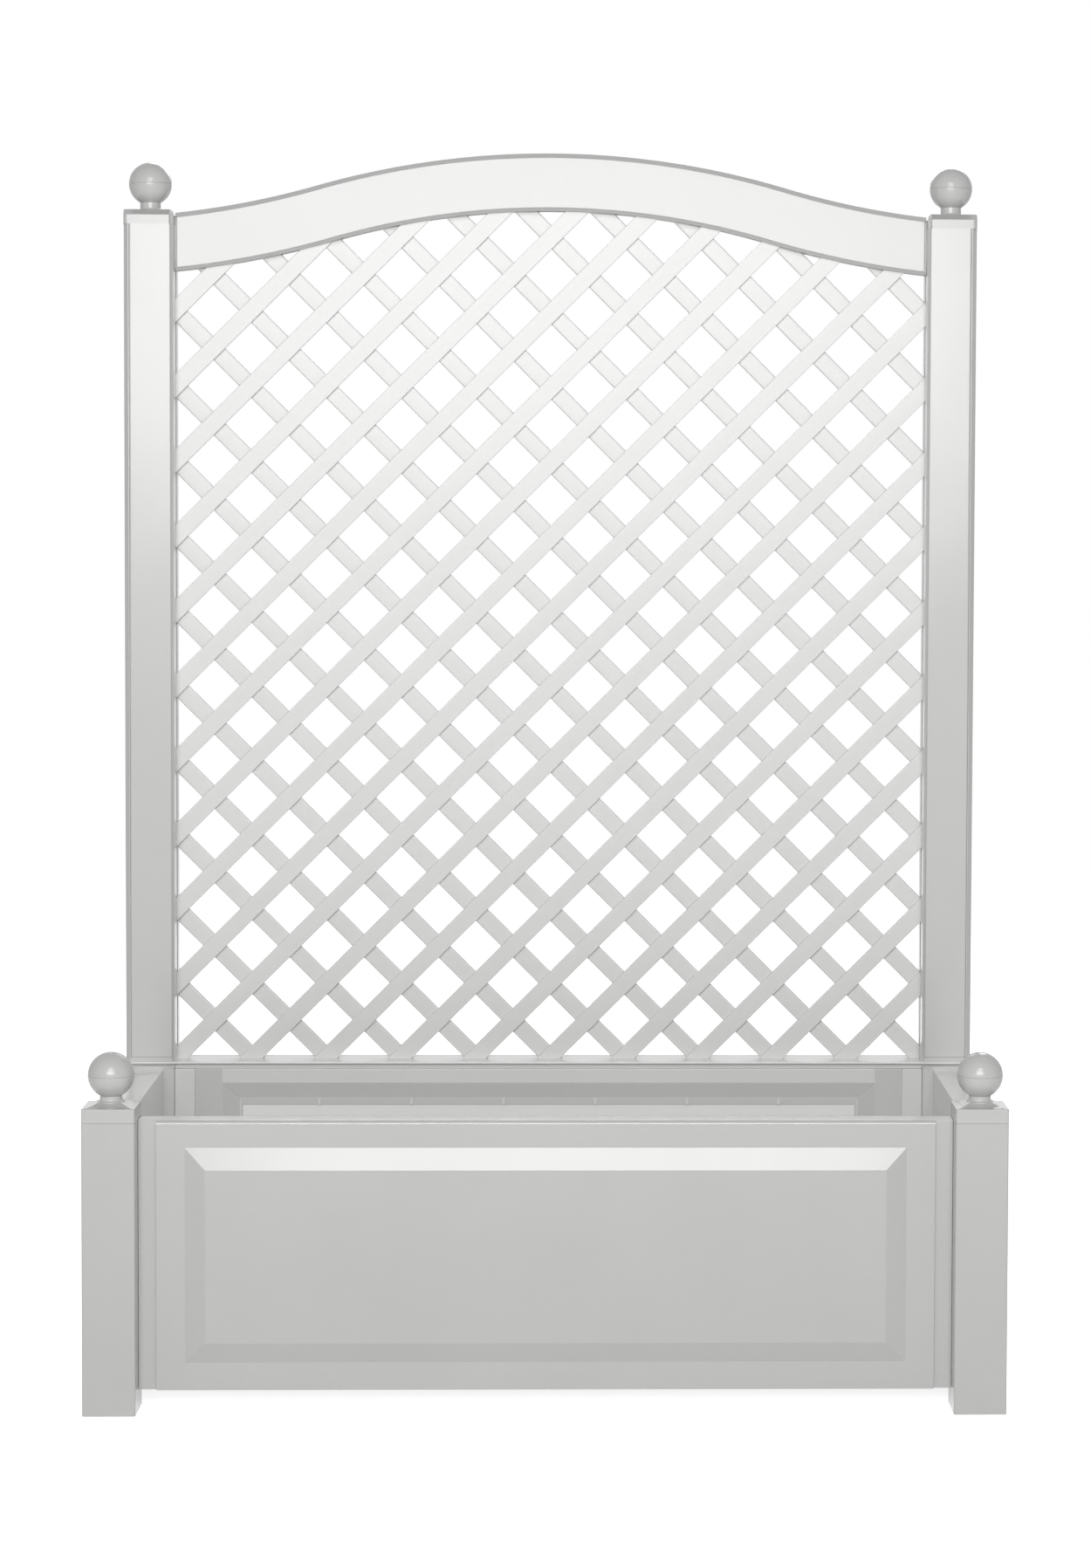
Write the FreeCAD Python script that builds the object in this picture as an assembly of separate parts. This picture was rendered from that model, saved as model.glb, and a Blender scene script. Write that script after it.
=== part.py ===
import FreeCAD, Part
import math
import os

# Planter box on four legs, with an arched lattice trellis standing on the two rear legs.
# Millimetres. X runs along the box, the front faces -Y, Z is up, the origin is under the middle of the box.
# Every moulded piece is a closed solid of its own, and each is written to its own file.

# Overall sizes
OVERALL_LENGTH = 1000.0
OVERALL_DEPTH = 430.0
OVERALL_HEIGHT = 1400.0

# General fits
FIT_GAP = 0.3
EDGE_ROUND = 2.0

# Legs: square tubes with a closed foot, and ribs inside that guide panel tongues and spigots
LEG = 57.5
LEG_HEIGHT = 318.5
LEG_WALL = 3.0
FOOT_PLATE = 3.0
GUIDE_THICKNESS = 2.0

# Wall panels: an outer shell with a raised field, a wide crowned rim and an inner liner
PANEL_BOTTOM = 23.0
PANEL_WALL = 3.0
LONG_SETBACK = 24.0
SIDE_SETBACK = 11.0
RIM_WIDTH = 33.0
RIM_ROUND = 4.0
RIM_CROWN = 1.0
STRIP_WIDTH = 19.5
STRIP_STEP = 4.0
FIELD_SIDE_MARGIN = 50.5
FIELD_END_MARGIN = 30.3
FIELD_BEVEL = 23.0
FIELD_RISE = 10.0
LEDGE_WIDTH = 12.0

# Liners: a sunk field with a flat stiffening plate and gussets
LINER_WALL = 2.5
LINER_SIDE_MARGIN = 56.2
LINER_END_MARGIN = 12.5
LINER_BEVEL = 19.5
LINER_RECESS = 10.0
PLATE_RISE = 4.0
PLATE_SIDE_GAP = 3.0
PLATE_END_GAP = 8.0
GUSSET_PITCH = 109.0
GUSSET_THICKNESS = 3.0

# Floor: two ribbed halves on the ledges of the panels, with drain holes
FLOOR_THICKNESS = 3.0
FLOOR_RIB_HEIGHT = 13.0
FLOOR_RIB_THICKNESS = 2.5
FLOOR_RIBS = 4
FLOOR_LAP = 10.0
DRAIN_RADIUS = 6.0
DRAIN_ROWS = 2

# Post caps and ball finials
CAP_SKIRT = 15.5
CAP_WALL = 3.0
CAP_SHOULDER = 2.0
CAP_ROUND = 1.2
CAP_RISE = 5.0
SPIGOT_WALL = 2.5
CAP_SPIGOT = 25.0
NECK_RADIUS = 12.0
BALL_RADIUS = 25.0
BALL_LIFT = 33.0
BALL_WALL = 2.5
BALL_SEAM = 0.5
PEG_RADIUS = 6.5
PEG_LENGTH = 9.0
RING_THICKNESS = 1.5
RING_DEPTH = 4.0

# Trellis base rail
BASE_HEIGHT = 8.5
BASE_PLATE = 4.0
BASE_STEP = 4.0
BASE_WALL = 3.0
LEG_SPIGOT = 90.0
POST_SPIGOT = 60.0

# Trellis posts: closed tubes with a thin outer lip, and a cover tray on the front
POST_WALL = 2.5
COVER_STAND = 8.0
COVER_WALL = 2.5
COVER_OUTER_GAP = 4.3
COVER_INNER_STEP = 4.0
LIP_THICKNESS = 2.0
LIP_SET = 1.0

# Arched top rail: two arcs of one radius on each side of the middle
ARCH_RADIUS = 990.0
ARCH_TURN = 276.0
RAIL_HEIGHT = 68.0
RAIL_SET = 20.5
RAIL_COVER_STAND = 6.0
RAIL_WALL = 3.0
RAIL_GROOVE = 8.0
RAIL_GROOVE_ROOF = 4.0
RAIL_LIP = 2.5
RAIL_TOP_GAP = 3.5
RAIL_BOTTOM_GAP = 1.5
RAIL_RIB = 2.5
TENON_LENGTH = 8.0
TENON_TOP = 20.0

# Lattice: two layers of slanting slats, with the angle in degrees
LATTICE_BAYS = 10
SLAT_ANGLE = 45.0
SLAT_WIDTH = 20.0
SLAT_THICKNESS = 5.0
LATTICE_SINK = 1.3
GROOVE_DEPTH = 4.0

# Worked out from the sizes above
HALF_LENGTH = OVERALL_LENGTH / 2
HALF_DEPTH = OVERALL_DEPTH / 2
LONG_HALF = HALF_LENGTH - LEG - FIT_GAP
SIDE_HALF = HALF_DEPTH - LEG - FIT_GAP
LINER_BOTTOM = PANEL_BOTTOM + PANEL_WALL
LINER_TOP = LEG_HEIGHT - RIM_CROWN - PANEL_WALL
# The guides end level with the inside of a post's front wall, so one spigot fits legs and posts
SPIGOT_ROOM = COVER_STAND + POST_WALL
GUIDE_DEPTH = SPIGOT_ROOM - LEG_WALL
SPIGOT_INSET = SPIGOT_ROOM + FIT_GAP
BASE_TOP = LEG_HEIGHT + BASE_HEIGHT
POST_FRONT = HALF_DEPTH - LEG
SPAN_HALF = HALF_LENGTH - LEG
RAIL_FRONT = POST_FRONT + RAIL_SET
RAIL_BODY_FRONT = RAIL_FRONT + RAIL_COVER_STAND
LATTICE_FRONT = RAIL_BODY_FRONT + RAIL_WALL
LATTICE_BACK = LATTICE_FRONT + 2 * SLAT_THICKNESS
RAIL_BACK = LATTICE_BACK + RAIL_WALL
CAVITY_BOTTOM = RAIL_HEIGHT - RAIL_GROOVE - RAIL_GROOVE_ROOF
LEFT, RIGHT = -1, 1
FRONT, REAR = -1, 1


def vec(x, y, z):
    """A point or a direction."""
    return FreeCAD.Vector(x, y, z)


def block(x, y, z):
    """A box between the two ends of each range, which may come in either order."""
    low = vec(min(x), min(y), min(z))
    return Part.makeBox(max(x) - low.x, max(y) - low.y, max(z) - low.z, low)


def corner_block(side, end, across, along, z):
    """A box at a corner of the planter, measured inward from its outer side and end faces."""
    x = [side * (HALF_LENGTH - v) for v in across]
    y = [end * (HALF_DEPTH - v) for v in along]
    return block(x, y, z)


def square_block(x, y, width, z):
    """An upright square bar round a vertical axis."""
    half = width / 2
    return block((x - half, x + half), (y - half, y + half), z)


def round_upright_edges(solid, radius):
    """Round the upright edges of a bar."""
    edges = [e for e in solid.Edges if max(e.BoundBox.XLength, e.BoundBox.YLength) < FIT_GAP]
    return solid.makeFillet(radius, edges)


def upright_edges_at(solid, y):
    """The upright edges of a post or cover that lie at one depth."""
    boxes = [(e, e.BoundBox) for e in solid.Edges]
    return [e for e, b in boxes if b.ZLength > LEG and b.YLength < FIT_GAP and abs(b.YMin - y) < FIT_GAP]


def tidy(solid):
    """Merge faces that lie in one plane after a join."""
    return solid.removeSplitter()


# Legs
def leg(side, end):
    """A hollow leg with two slots for the panel tongues."""
    full = (0, LEG)
    inside = (LEG_WALL, LEG - LEG_WALL)
    near = (LEG_WALL, LEG_WALL + GUIDE_DEPTH)
    far = (LEG - LEG_WALL - GUIDE_DEPTH, LEG - LEG_WALL)
    hollow_z = (FOOT_PLATE, LEG_HEIGHT)
    shaft = round_upright_edges(corner_block(side, end, full, full, (0, LEG_HEIGHT)), EDGE_ROUND)
    shaft = shaft.cut(corner_block(side, end, inside, inside, hollow_z))
    long_slot = slot_range(LONG_SETBACK)
    side_slot = slot_range(SIDE_SETBACK)
    guides = []
    for wall in (near, far):
        for band in guide_ranges(long_slot):
            guides.append(corner_block(side, end, wall, band, hollow_z))
        for band in guide_ranges(side_slot):
            guides.append(corner_block(side, end, band, wall, hollow_z))
    through = (LEG - LEG_WALL, LEG)
    slot_z = (PANEL_BOTTOM, LEG_HEIGHT)
    slots = [
        corner_block(side, end, through, long_slot, slot_z),
        corner_block(side, end, side_slot, through, slot_z),
    ]
    return tidy(shaft.fuse(guides).cut(slots))


def slot_range(setback):
    """Where a panel's tongue enters the leg, with clearance on both faces."""
    face = setback + STRIP_STEP
    return (face - FIT_GAP, face + PANEL_WALL + FIT_GAP)


def guide_ranges(slot):
    """The two ribs beside a slot."""
    return ((slot[0] - GUIDE_THICKNESS, slot[0]), (slot[1], slot[1] + GUIDE_THICKNESS))


# Wall panels, built with their length along X and their depth inward along +Y
def panel_section(face, inner, x):
    """Wall, crowned rim and bottom flange of a panel as one bent section, drawn out along X."""
    shoulder = LEG_HEIGHT - RIM_CROWN
    under = shoulder - PANEL_WALL
    back = face + PANEL_WALL
    bend = RIM_ROUND * (1 - math.sqrt(0.5))

    def at(y, z):
        return vec(x[0], y, z)

    corner = at(face + RIM_ROUND, shoulder)
    round_start = at(face, shoulder - RIM_ROUND)
    rim_end = at(inner, shoulder)
    edges = [
        Part.Arc(round_start, at(face + bend, shoulder - bend), corner).toShape(),
        Part.Arc(corner, at((corner.y + inner) / 2, LEG_HEIGHT), rim_end).toShape(),
    ]
    path = [
        rim_end,
        at(inner, under),
        at(back, under),
        at(back, LINER_BOTTOM),
        at(inner, LINER_BOTTOM),
        at(inner, PANEL_BOTTOM),
        at(face, PANEL_BOTTOM),
        round_start,
    ]
    for start, stop in zip(path, path[1:]):
        edges.append(Part.LineSegment(start, stop).toShape())
    return Part.Face(Part.Wire(edges)).extrude(vec(x[1] - x[0], 0, 0))


def frustum(half, z, bevel, y):
    """A raised or sunk field: a rectangle that narrows by the bevel from the first depth to the second."""
    def ring(inset, depth):
        width = half - inset
        low = z[0] + inset
        high = z[1] - inset
        corners = [(-width, low), (width, low), (width, high), (-width, high), (-width, low)]
        return Part.makePolygon([vec(u, depth, w) for u, w in corners])

    return Part.makeLoft([ring(0, y[0]), ring(bevel, y[1])], True, True)


def panel(half, setback, ledge_half):
    """The outer shell of one wall, with its tongues and the ledge that carries the floor."""
    inner = setback + RIM_WIDTH
    strip_face = setback + STRIP_STEP
    strip_start = half - STRIP_WIDTH
    wall_z = (PANEL_BOTTOM, LEG_HEIGHT - RIM_CROWN - RIM_ROUND)
    body = panel_section(setback, inner, (-strip_start, strip_start))
    pieces = []
    for end in (LEFT, RIGHT):
        strip_x = sorted((end * strip_start, end * half))
        pieces.append(panel_section(strip_face, inner, strip_x))
        step_x = (end * (strip_start - PANEL_WALL), end * strip_start)
        pieces.append(block(step_x, (setback, strip_face + PANEL_WALL), wall_z))
        tongue_x = (end * half, end * (half + LEG_WALL + GUIDE_DEPTH))
        pieces.append(block(tongue_x, (strip_face, strip_face + PANEL_WALL), wall_z))
    ledge_z = (PANEL_BOTTOM, LINER_BOTTOM)
    pieces.append(block((-ledge_half, ledge_half), (inner, inner + LEDGE_WIDTH), ledge_z))
    field = panel_field(half, setback)
    pieces.append(field)
    hollow = field.copy()
    hollow.translate(vec(0, PANEL_WALL, 0))
    return tidy(body.fuse(pieces).cut(hollow))


def panel_field(half, setback):
    """The raised field on the face of a panel."""
    field_z = (PANEL_BOTTOM + FIELD_END_MARGIN, LEG_HEIGHT - FIELD_END_MARGIN)
    depth = (setback, setback - FIELD_RISE)
    return frustum(half - FIELD_SIDE_MARGIN, field_z, FIELD_BEVEL, depth)


def liner(half, setback):
    """The inner wall of one side, held between the rim and the bottom flange of its panel."""
    inner = setback + RIM_WIDTH
    strip_start = half - STRIP_WIDTH
    strip_back = inner - STRIP_STEP
    z = (LINER_BOTTOM, LINER_TOP)
    sheet = block((-strip_start, strip_start), (inner - LINER_WALL, inner), z)
    pieces = []
    for end in (LEFT, RIGHT):
        strip_x = (end * strip_start, end * half)
        pieces.append(block(strip_x, (strip_back - LINER_WALL, strip_back), z))
        step_x = (end * (strip_start - LINER_WALL), end * strip_start)
        pieces.append(block(step_x, (strip_back - LINER_WALL, inner), z))
    pocket_z = (z[0] + LINER_END_MARGIN, z[1] - LINER_END_MARGIN)
    pocket = frustum(half - LINER_SIDE_MARGIN, pocket_z, LINER_BEVEL, (inner, inner - LINER_RECESS))
    backing = pocket.copy()
    backing.translate(vec(0, -LINER_WALL, 0))
    shell = sheet.fuse(pieces + [backing]).cut(pocket)
    stiffeners, hollow = liner_stiffeners(half, setback, pocket_z)
    return tidy(shell.fuse(stiffeners[0]).cut(hollow).fuse(stiffeners[1:]))


def liner_stiffeners(half, setback, pocket_z):
    """The raised plate in the sunk field, its gussets and the ribs behind it, and the hollow of the plate."""
    floor = setback + RIM_WIDTH - LINER_RECESS
    flat_half = half - LINER_SIDE_MARGIN - LINER_BEVEL
    flat_z = (pocket_z[0] + LINER_BEVEL, pocket_z[1] - LINER_BEVEL)
    plate_half = flat_half - PLATE_SIDE_GAP
    plate_z = (flat_z[0] + PLATE_END_GAP, flat_z[1] - PLATE_END_GAP)
    proud = (floor, floor + PLATE_RISE)
    pieces = [block((-plate_half, plate_half), proud, plate_z)]
    hollow_half = plate_half - LINER_WALL
    hollow_y = (floor - LINER_WALL, floor + PLATE_RISE - LINER_WALL)
    hollow = block((-hollow_half, hollow_half), hollow_y, (plate_z[0] + LINER_WALL, plate_z[1] - LINER_WALL))
    outer_flat = setback - FIELD_RISE + PANEL_WALL + FIT_GAP
    behind = (outer_flat, hollow_y[1])
    rib_z = (
        max(plate_z[0], PANEL_BOTTOM + FIELD_END_MARGIN + FIELD_BEVEL) + PANEL_WALL,
        min(plate_z[1], LEG_HEIGHT - FIELD_END_MARGIN - FIELD_BEVEL) - PANEL_WALL,
    )
    place = GUSSET_PITCH / 2
    while place < plate_half - GUSSET_THICKNESS:
        for end in (LEFT, RIGHT):
            x = (end * place - GUSSET_THICKNESS / 2, end * place + GUSSET_THICKNESS / 2)
            pieces.append(block(x, proud, (plate_z[1], flat_z[1])))
            pieces.append(block(x, proud, (flat_z[0], plate_z[0])))
            pieces.append(block(x, behind, rib_z))
        place += GUSSET_PITCH
    return pieces, hollow


def place_wall(solid, turn, x, y):
    """Turn a wall about the vertical and set it against its side of the planter."""
    solid.rotate(vec(0, 0, 0), vec(0, 0, 1), turn)
    solid.translate(vec(x, y, 0))
    return solid


def walls():
    """The four outer shells and their four liners."""
    placing = {
        "front": (LONG_HALF, LONG_SETBACK, 0, 0, -HALF_DEPTH),
        "rear": (LONG_HALF, LONG_SETBACK, 180, 0, HALF_DEPTH),
        "left": (SIDE_HALF, SIDE_SETBACK, -90, -HALF_LENGTH, 0),
        "right": (SIDE_HALF, SIDE_SETBACK, 90, HALF_LENGTH, 0),
    }
    side_reach = SIDE_SETBACK + RIM_WIDTH + LEDGE_WIDTH + FIT_GAP
    long_reach = LONG_SETBACK + RIM_WIDTH + FIT_GAP
    ledge_half = {
        LONG_HALF: min(LONG_HALF, HALF_LENGTH - side_reach),
        SIDE_HALF: min(SIDE_HALF, HALF_DEPTH - long_reach),
    }
    made = {}
    for name, (half, setback, turn, x, y) in placing.items():
        shell = panel(half, setback, ledge_half[half])
        made[name + "_panel"] = place_wall(shell, turn, x, y)
        made[name + "_liner"] = place_wall(liner(half, setback), turn, x, y)
    return made


# Floor
def floor_half(side):
    """One half of the floor, with ribs below and drain holes. The left half carries the lap."""
    end_x = HALF_LENGTH - SIDE_SETBACK - RIM_WIDTH - FIT_GAP
    end_y = HALF_DEPTH - max(LEG, LONG_SETBACK + RIM_WIDTH) - FIT_GAP
    under = LINER_BOTTOM
    plate = block((side * FIT_GAP, side * end_x), (-end_y, end_y), (under, under + FLOOR_THICKNESS))
    rib_y = HALF_DEPTH - LONG_SETBACK - RIM_WIDTH - LEDGE_WIDTH - FIT_GAP
    rib_z = (under - FLOOR_RIB_HEIGHT, under)
    bay = (end_x - LEDGE_WIDTH) / (FLOOR_RIBS + 1)
    ribs = []
    for count in range(1, FLOOR_RIBS + 1):
        x = side * bay * count
        ribs.append(block((x, x + side * FLOOR_RIB_THICKNESS), (-rib_y, rib_y), rib_z))
    if side == LEFT:
        lap_z = (under - FLOOR_THICKNESS, under)
        ribs.append(block((-FLOOR_LAP, FLOOR_LAP), (-rib_y, rib_y), lap_z))
    drains = []
    for count in range(FLOOR_RIBS):
        x = side * bay * (count + 1.5)
        for row in range(DRAIN_ROWS):
            y = rib_y * (2 * row + 1 - DRAIN_ROWS) / DRAIN_ROWS
            drains.append(Part.makeCylinder(DRAIN_RADIUS, FLOOR_THICKNESS, vec(x, y, under)))
    return tidy(plate.fuse(ribs).cut(drains))


# Post caps and finials
def cap(x, y, seat):
    """A square cap with a low pyramid, a neck for the ball and a spigot that plugs into the tube below."""
    top = seat + CAP_SKIRT
    skirt = round_upright_edges(square_block(x, y, LEG, (seat, top)), EDGE_ROUND)
    top_edges = [e for e in skirt.Edges if e.BoundBox.ZMin > top - FIT_GAP]
    skirt = skirt.makeFillet(CAP_ROUND, top_edges)
    pyramid = square_loft(x, y, LEG - 2 * CAP_SHOULDER, 2 * NECK_RADIUS + CAP_SHOULDER, (top, top + CAP_RISE))
    neck = Part.makeCylinder(NECK_RADIUS, BALL_LIFT, vec(x, y, top))
    ball = Part.makeSphere(BALL_RADIUS + FIT_GAP / 2, vec(x, y, top + BALL_LIFT))
    under = top - CAP_WALL
    hollow = square_block(x, y, LEG - 2 * CAP_WALL, (seat, under))
    spigot_width = LEG - 2 * SPIGOT_INSET
    spigot = square_block(x, y, spigot_width, (seat - CAP_SPIGOT, under))
    bore = square_block(x, y, spigot_width - 2 * SPIGOT_WALL, (seat - CAP_SPIGOT, under))
    peg_hole = Part.makeCylinder(PEG_RADIUS + FIT_GAP, BALL_LIFT + CAP_WALL, vec(x, y, under))
    shell = skirt.fuse([pyramid, neck.cut(ball)]).cut(hollow)
    return tidy(shell.fuse(spigot.cut(bore)).cut(peg_hole))


def square_loft(x, y, wide, narrow, z):
    """A low pyramid with its top cut off, round a vertical axis."""
    def ring(width, height):
        half = width / 2
        corners = [(-half, -half), (half, -half), (half, half), (-half, half), (-half, -half)]
        return Part.makePolygon([vec(x + u, y + v, height) for u, v in corners])

    return Part.makeLoft([ring(wide, z[0]), ring(narrow, z[1])], True, True)


def half_ball(centre, up):
    """One half of a hollow ball, with a small chamfer at the seam."""
    axis = vec(0, 0, 1 if up else -1)
    outer = Part.makeSphere(BALL_RADIUS, centre, axis, 0, 90, 360)
    inner = Part.makeSphere(BALL_RADIUS - BALL_WALL, centre, axis, 0, 90, 360)
    rim = [e for e in outer.Edges if e.BoundBox.ZLength < FIT_GAP and e.Length > BALL_RADIUS]
    return outer.makeChamfer(BALL_SEAM, rim).cut(inner)


def lower_ball(x, y, seat):
    """The lower half of a finial, with the peg that holds it in its cap."""
    centre = vec(x, y, seat + CAP_SKIRT + BALL_LIFT)
    bottom = centre.z - BALL_RADIUS
    peg = Part.makeCylinder(PEG_RADIUS, PEG_LENGTH + BALL_WALL, vec(x, y, bottom - PEG_LENGTH))
    return tidy(half_ball(centre, False).fuse(peg))


def upper_ball(x, y, seat):
    """The upper half of a finial, with the ring that centres it in the lower half."""
    centre = vec(x, y, seat + CAP_SKIRT + BALL_LIFT)
    inner = BALL_RADIUS - BALL_WALL
    radius = math.sqrt(inner ** 2 - RING_DEPTH ** 2) - FIT_GAP
    reach = math.sqrt(inner ** 2 - (radius - RING_THICKNESS / 2) ** 2)
    base = vec(x, y, centre.z - RING_DEPTH)
    ring = Part.makeCylinder(radius, RING_DEPTH + reach, base)
    ring = ring.cut(Part.makeCylinder(radius - RING_THICKNESS, RING_DEPTH + reach, base))
    inside = Part.makeSphere(BALL_RADIUS - BALL_WALL / 2, centre)
    return tidy(half_ball(centre, True).fuse(ring.common(inside)))


# Arch geometry: offsets run down from the top edge of the rail, square to it
def arch_point(offset, x):
    """The height of an offset curve of the arch at a place beyond its turning point."""
    turn = math.asin(ARCH_TURN / ARCH_RADIUS)
    side_x = 2 * ARCH_RADIUS * math.sin(turn)
    side_z = OVERALL_HEIGHT - ARCH_RADIUS + 2 * ARCH_RADIUS * math.cos(turn)
    radius = ARCH_RADIUS + offset
    return side_z - math.sqrt(radius ** 2 - (side_x - x) ** 2)


def arch_curve(offset, half_span, y):
    """The three arcs of an offset curve from the left end to the right end."""
    turn = math.asin(ARCH_TURN / ARCH_RADIUS)
    radius = ARCH_RADIUS - offset
    middle_z = OVERALL_HEIGHT - ARCH_RADIUS
    turn_x = radius * math.sin(turn)
    turn_z = middle_z + radius * math.cos(turn)
    between = (turn_x + half_span) / 2

    def at(x, z):
        return vec(x, y, z)

    left_end = at(-half_span, arch_point(offset, half_span))
    right_end = at(half_span, arch_point(offset, half_span))
    left_turn = at(-turn_x, turn_z)
    right_turn = at(turn_x, turn_z)
    between_z = arch_point(offset, between)
    return [
        Part.Arc(left_end, at(-between, between_z), left_turn).toShape(),
        Part.Arc(left_turn, at(0, middle_z + radius), right_turn).toShape(),
        Part.Arc(right_turn, at(between, between_z), right_end).toShape(),
    ]


def arch_band(offsets, half_span, y):
    """A solid strip of the arch between two offset curves and two depths."""
    top, bottom = offsets
    sides = []
    for end in (LEFT, RIGHT):
        upper = vec(end * half_span, y[0], arch_point(top, half_span))
        lower = vec(end * half_span, y[0], arch_point(bottom, half_span))
        sides.append(Part.LineSegment(upper, lower).toShape())
    edges = arch_curve(top, half_span, y[0]) + arch_curve(bottom, half_span, y[0]) + sides
    face = Part.Face(Part.Wire(Part.__sortEdges__(edges)))
    return face.extrude(vec(0, y[1] - y[0], 0))


POST_TOP = arch_point(0, SPAN_HALF) - CAP_SKIRT
TENON_OFFSETS = (TENON_TOP, CAVITY_BOTTOM)


# Trellis
def base_rail():
    """The rail under the trellis, with spigots down into the rear legs and up into the posts."""
    plate_z = (BASE_TOP - BASE_PLATE, BASE_TOP)
    foot_z = (LEG_HEIGHT, BASE_TOP - BASE_PLATE)
    full = (-HALF_LENGTH, HALF_LENGTH)
    front = POST_FRONT + BASE_STEP
    pieces = [
        block(full, (front, front + BASE_WALL), foot_z),
        block(full, (HALF_DEPTH - BASE_WALL, HALF_DEPTH), foot_z),
    ]
    bores = []
    for side in (LEFT, RIGHT):
        x = side * (HALF_LENGTH - LEG / 2)
        y = HALF_DEPTH - LEG / 2
        width = LEG - 2 * SPIGOT_INSET
        pad = (side * (HALF_LENGTH - LEG), side * HALF_LENGTH)
        pieces.append(block(pad, (front, HALF_DEPTH), foot_z))
        down = (LEG_HEIGHT - LEG_SPIGOT, LEG_HEIGHT)
        pieces.append(square_block(x, y, width, down))
        bores.append(square_block(x, y, width - 2 * SPIGOT_WALL, (down[0], BASE_TOP - BASE_PLATE)))
        up_x, up_y = post_inside(side)
        up = (BASE_TOP, BASE_TOP + POST_SPIGOT)
        pieces.append(block(up_x, up_y, up))
        inner_x = (min(up_x) + SPIGOT_WALL, max(up_x) - SPIGOT_WALL)
        inner_y = (up_y[0] + SPIGOT_WALL, up_y[1] - SPIGOT_WALL)
        bores.append(block(inner_x, inner_y, up))
    plate = block(full, (POST_FRONT, HALF_DEPTH), plate_z)
    return tidy(plate.fuse(pieces).cut(bores))


def post_inside(side):
    """The room inside a post for the spigot of the base rail, clear of the lattice groove."""
    outer = HALF_LENGTH - POST_WALL - FIT_GAP
    inner = SPAN_HALF + 2 * POST_WALL + GROOVE_DEPTH + FIT_GAP
    x = (side * inner, side * outer)
    y = (POST_FRONT + COVER_STAND + POST_WALL + FIT_GAP, HALF_DEPTH - POST_WALL - FIT_GAP)
    return x, y


def trellis_post(side):
    """A closed tube with a thin lip along its outer front edge and a groove for the lattice."""
    z = (BASE_TOP, POST_TOP)
    tube_front = POST_FRONT + COVER_STAND
    outer_x = (side * SPAN_HALF, side * HALF_LENGTH)
    hollow_x = (side * (SPAN_HALF + POST_WALL), side * (HALF_LENGTH - POST_WALL))
    tube = block(outer_x, (tube_front, HALF_DEPTH), z)
    tube = tube.makeFillet(EDGE_ROUND, upright_edges_at(tube, HALF_DEPTH))
    tube = tube.cut(block(hollow_x, (tube_front + POST_WALL, HALF_DEPTH - POST_WALL), z))
    lip_x = (side * (HALF_LENGTH - LIP_THICKNESS), side * HALF_LENGTH)
    lip = block(lip_x, (POST_FRONT + LIP_SET, tube_front), z)
    groove_y = (LATTICE_FRONT - FIT_GAP, LATTICE_BACK + FIT_GAP)
    groove_top = arch_point(CAVITY_BOTTOM + RAIL_GROOVE_ROOF / 2, SPAN_HALF)
    backing_x = (side * SPAN_HALF, side * (SPAN_HALF + GROOVE_DEPTH + 2 * POST_WALL))
    backing_y = (groove_y[0] - POST_WALL, groove_y[1] + POST_WALL)
    backing = block(backing_x, backing_y, z)
    groove_x = (side * SPAN_HALF, side * (SPAN_HALF + POST_WALL + GROOVE_DEPTH))
    groove = block(groove_x, groove_y, (BASE_TOP, groove_top))
    mortise_x = (side * SPAN_HALF, side * (SPAN_HALF + TENON_LENGTH + FIT_GAP))
    mortise_z = (
        arch_point(TENON_OFFSETS[1], SPAN_HALF + TENON_LENGTH) - 2 * FIT_GAP,
        arch_point(TENON_OFFSETS[0], SPAN_HALF) + FIT_GAP,
    )
    mortise_y = (RAIL_BODY_FRONT + RAIL_WALL - FIT_GAP, LATTICE_BACK + FIT_GAP)
    mortise = block(mortise_x, mortise_y, mortise_z)
    return tidy(tube.fuse([lip, backing]).cut([groove, mortise]))


def post_cover(side):
    """The tray that forms the front face of a post."""
    z = (BASE_TOP, POST_TOP)
    outer = HALF_LENGTH - LIP_THICKNESS - COVER_OUTER_GAP
    inner = SPAN_HALF + COVER_INNER_STEP
    y = (POST_FRONT, POST_FRONT + COVER_STAND)
    tray = block((side * inner, side * outer), y, z)
    tray = tray.makeFillet(EDGE_ROUND, upright_edges_at(tray, POST_FRONT))
    hollow_x = (side * (inner + COVER_WALL), side * (outer - COVER_WALL))
    hollow_z = (z[0] + COVER_WALL, z[1] - COVER_WALL)
    return tray.cut(block(hollow_x, (POST_FRONT + COVER_WALL, y[1]), hollow_z))


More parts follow.
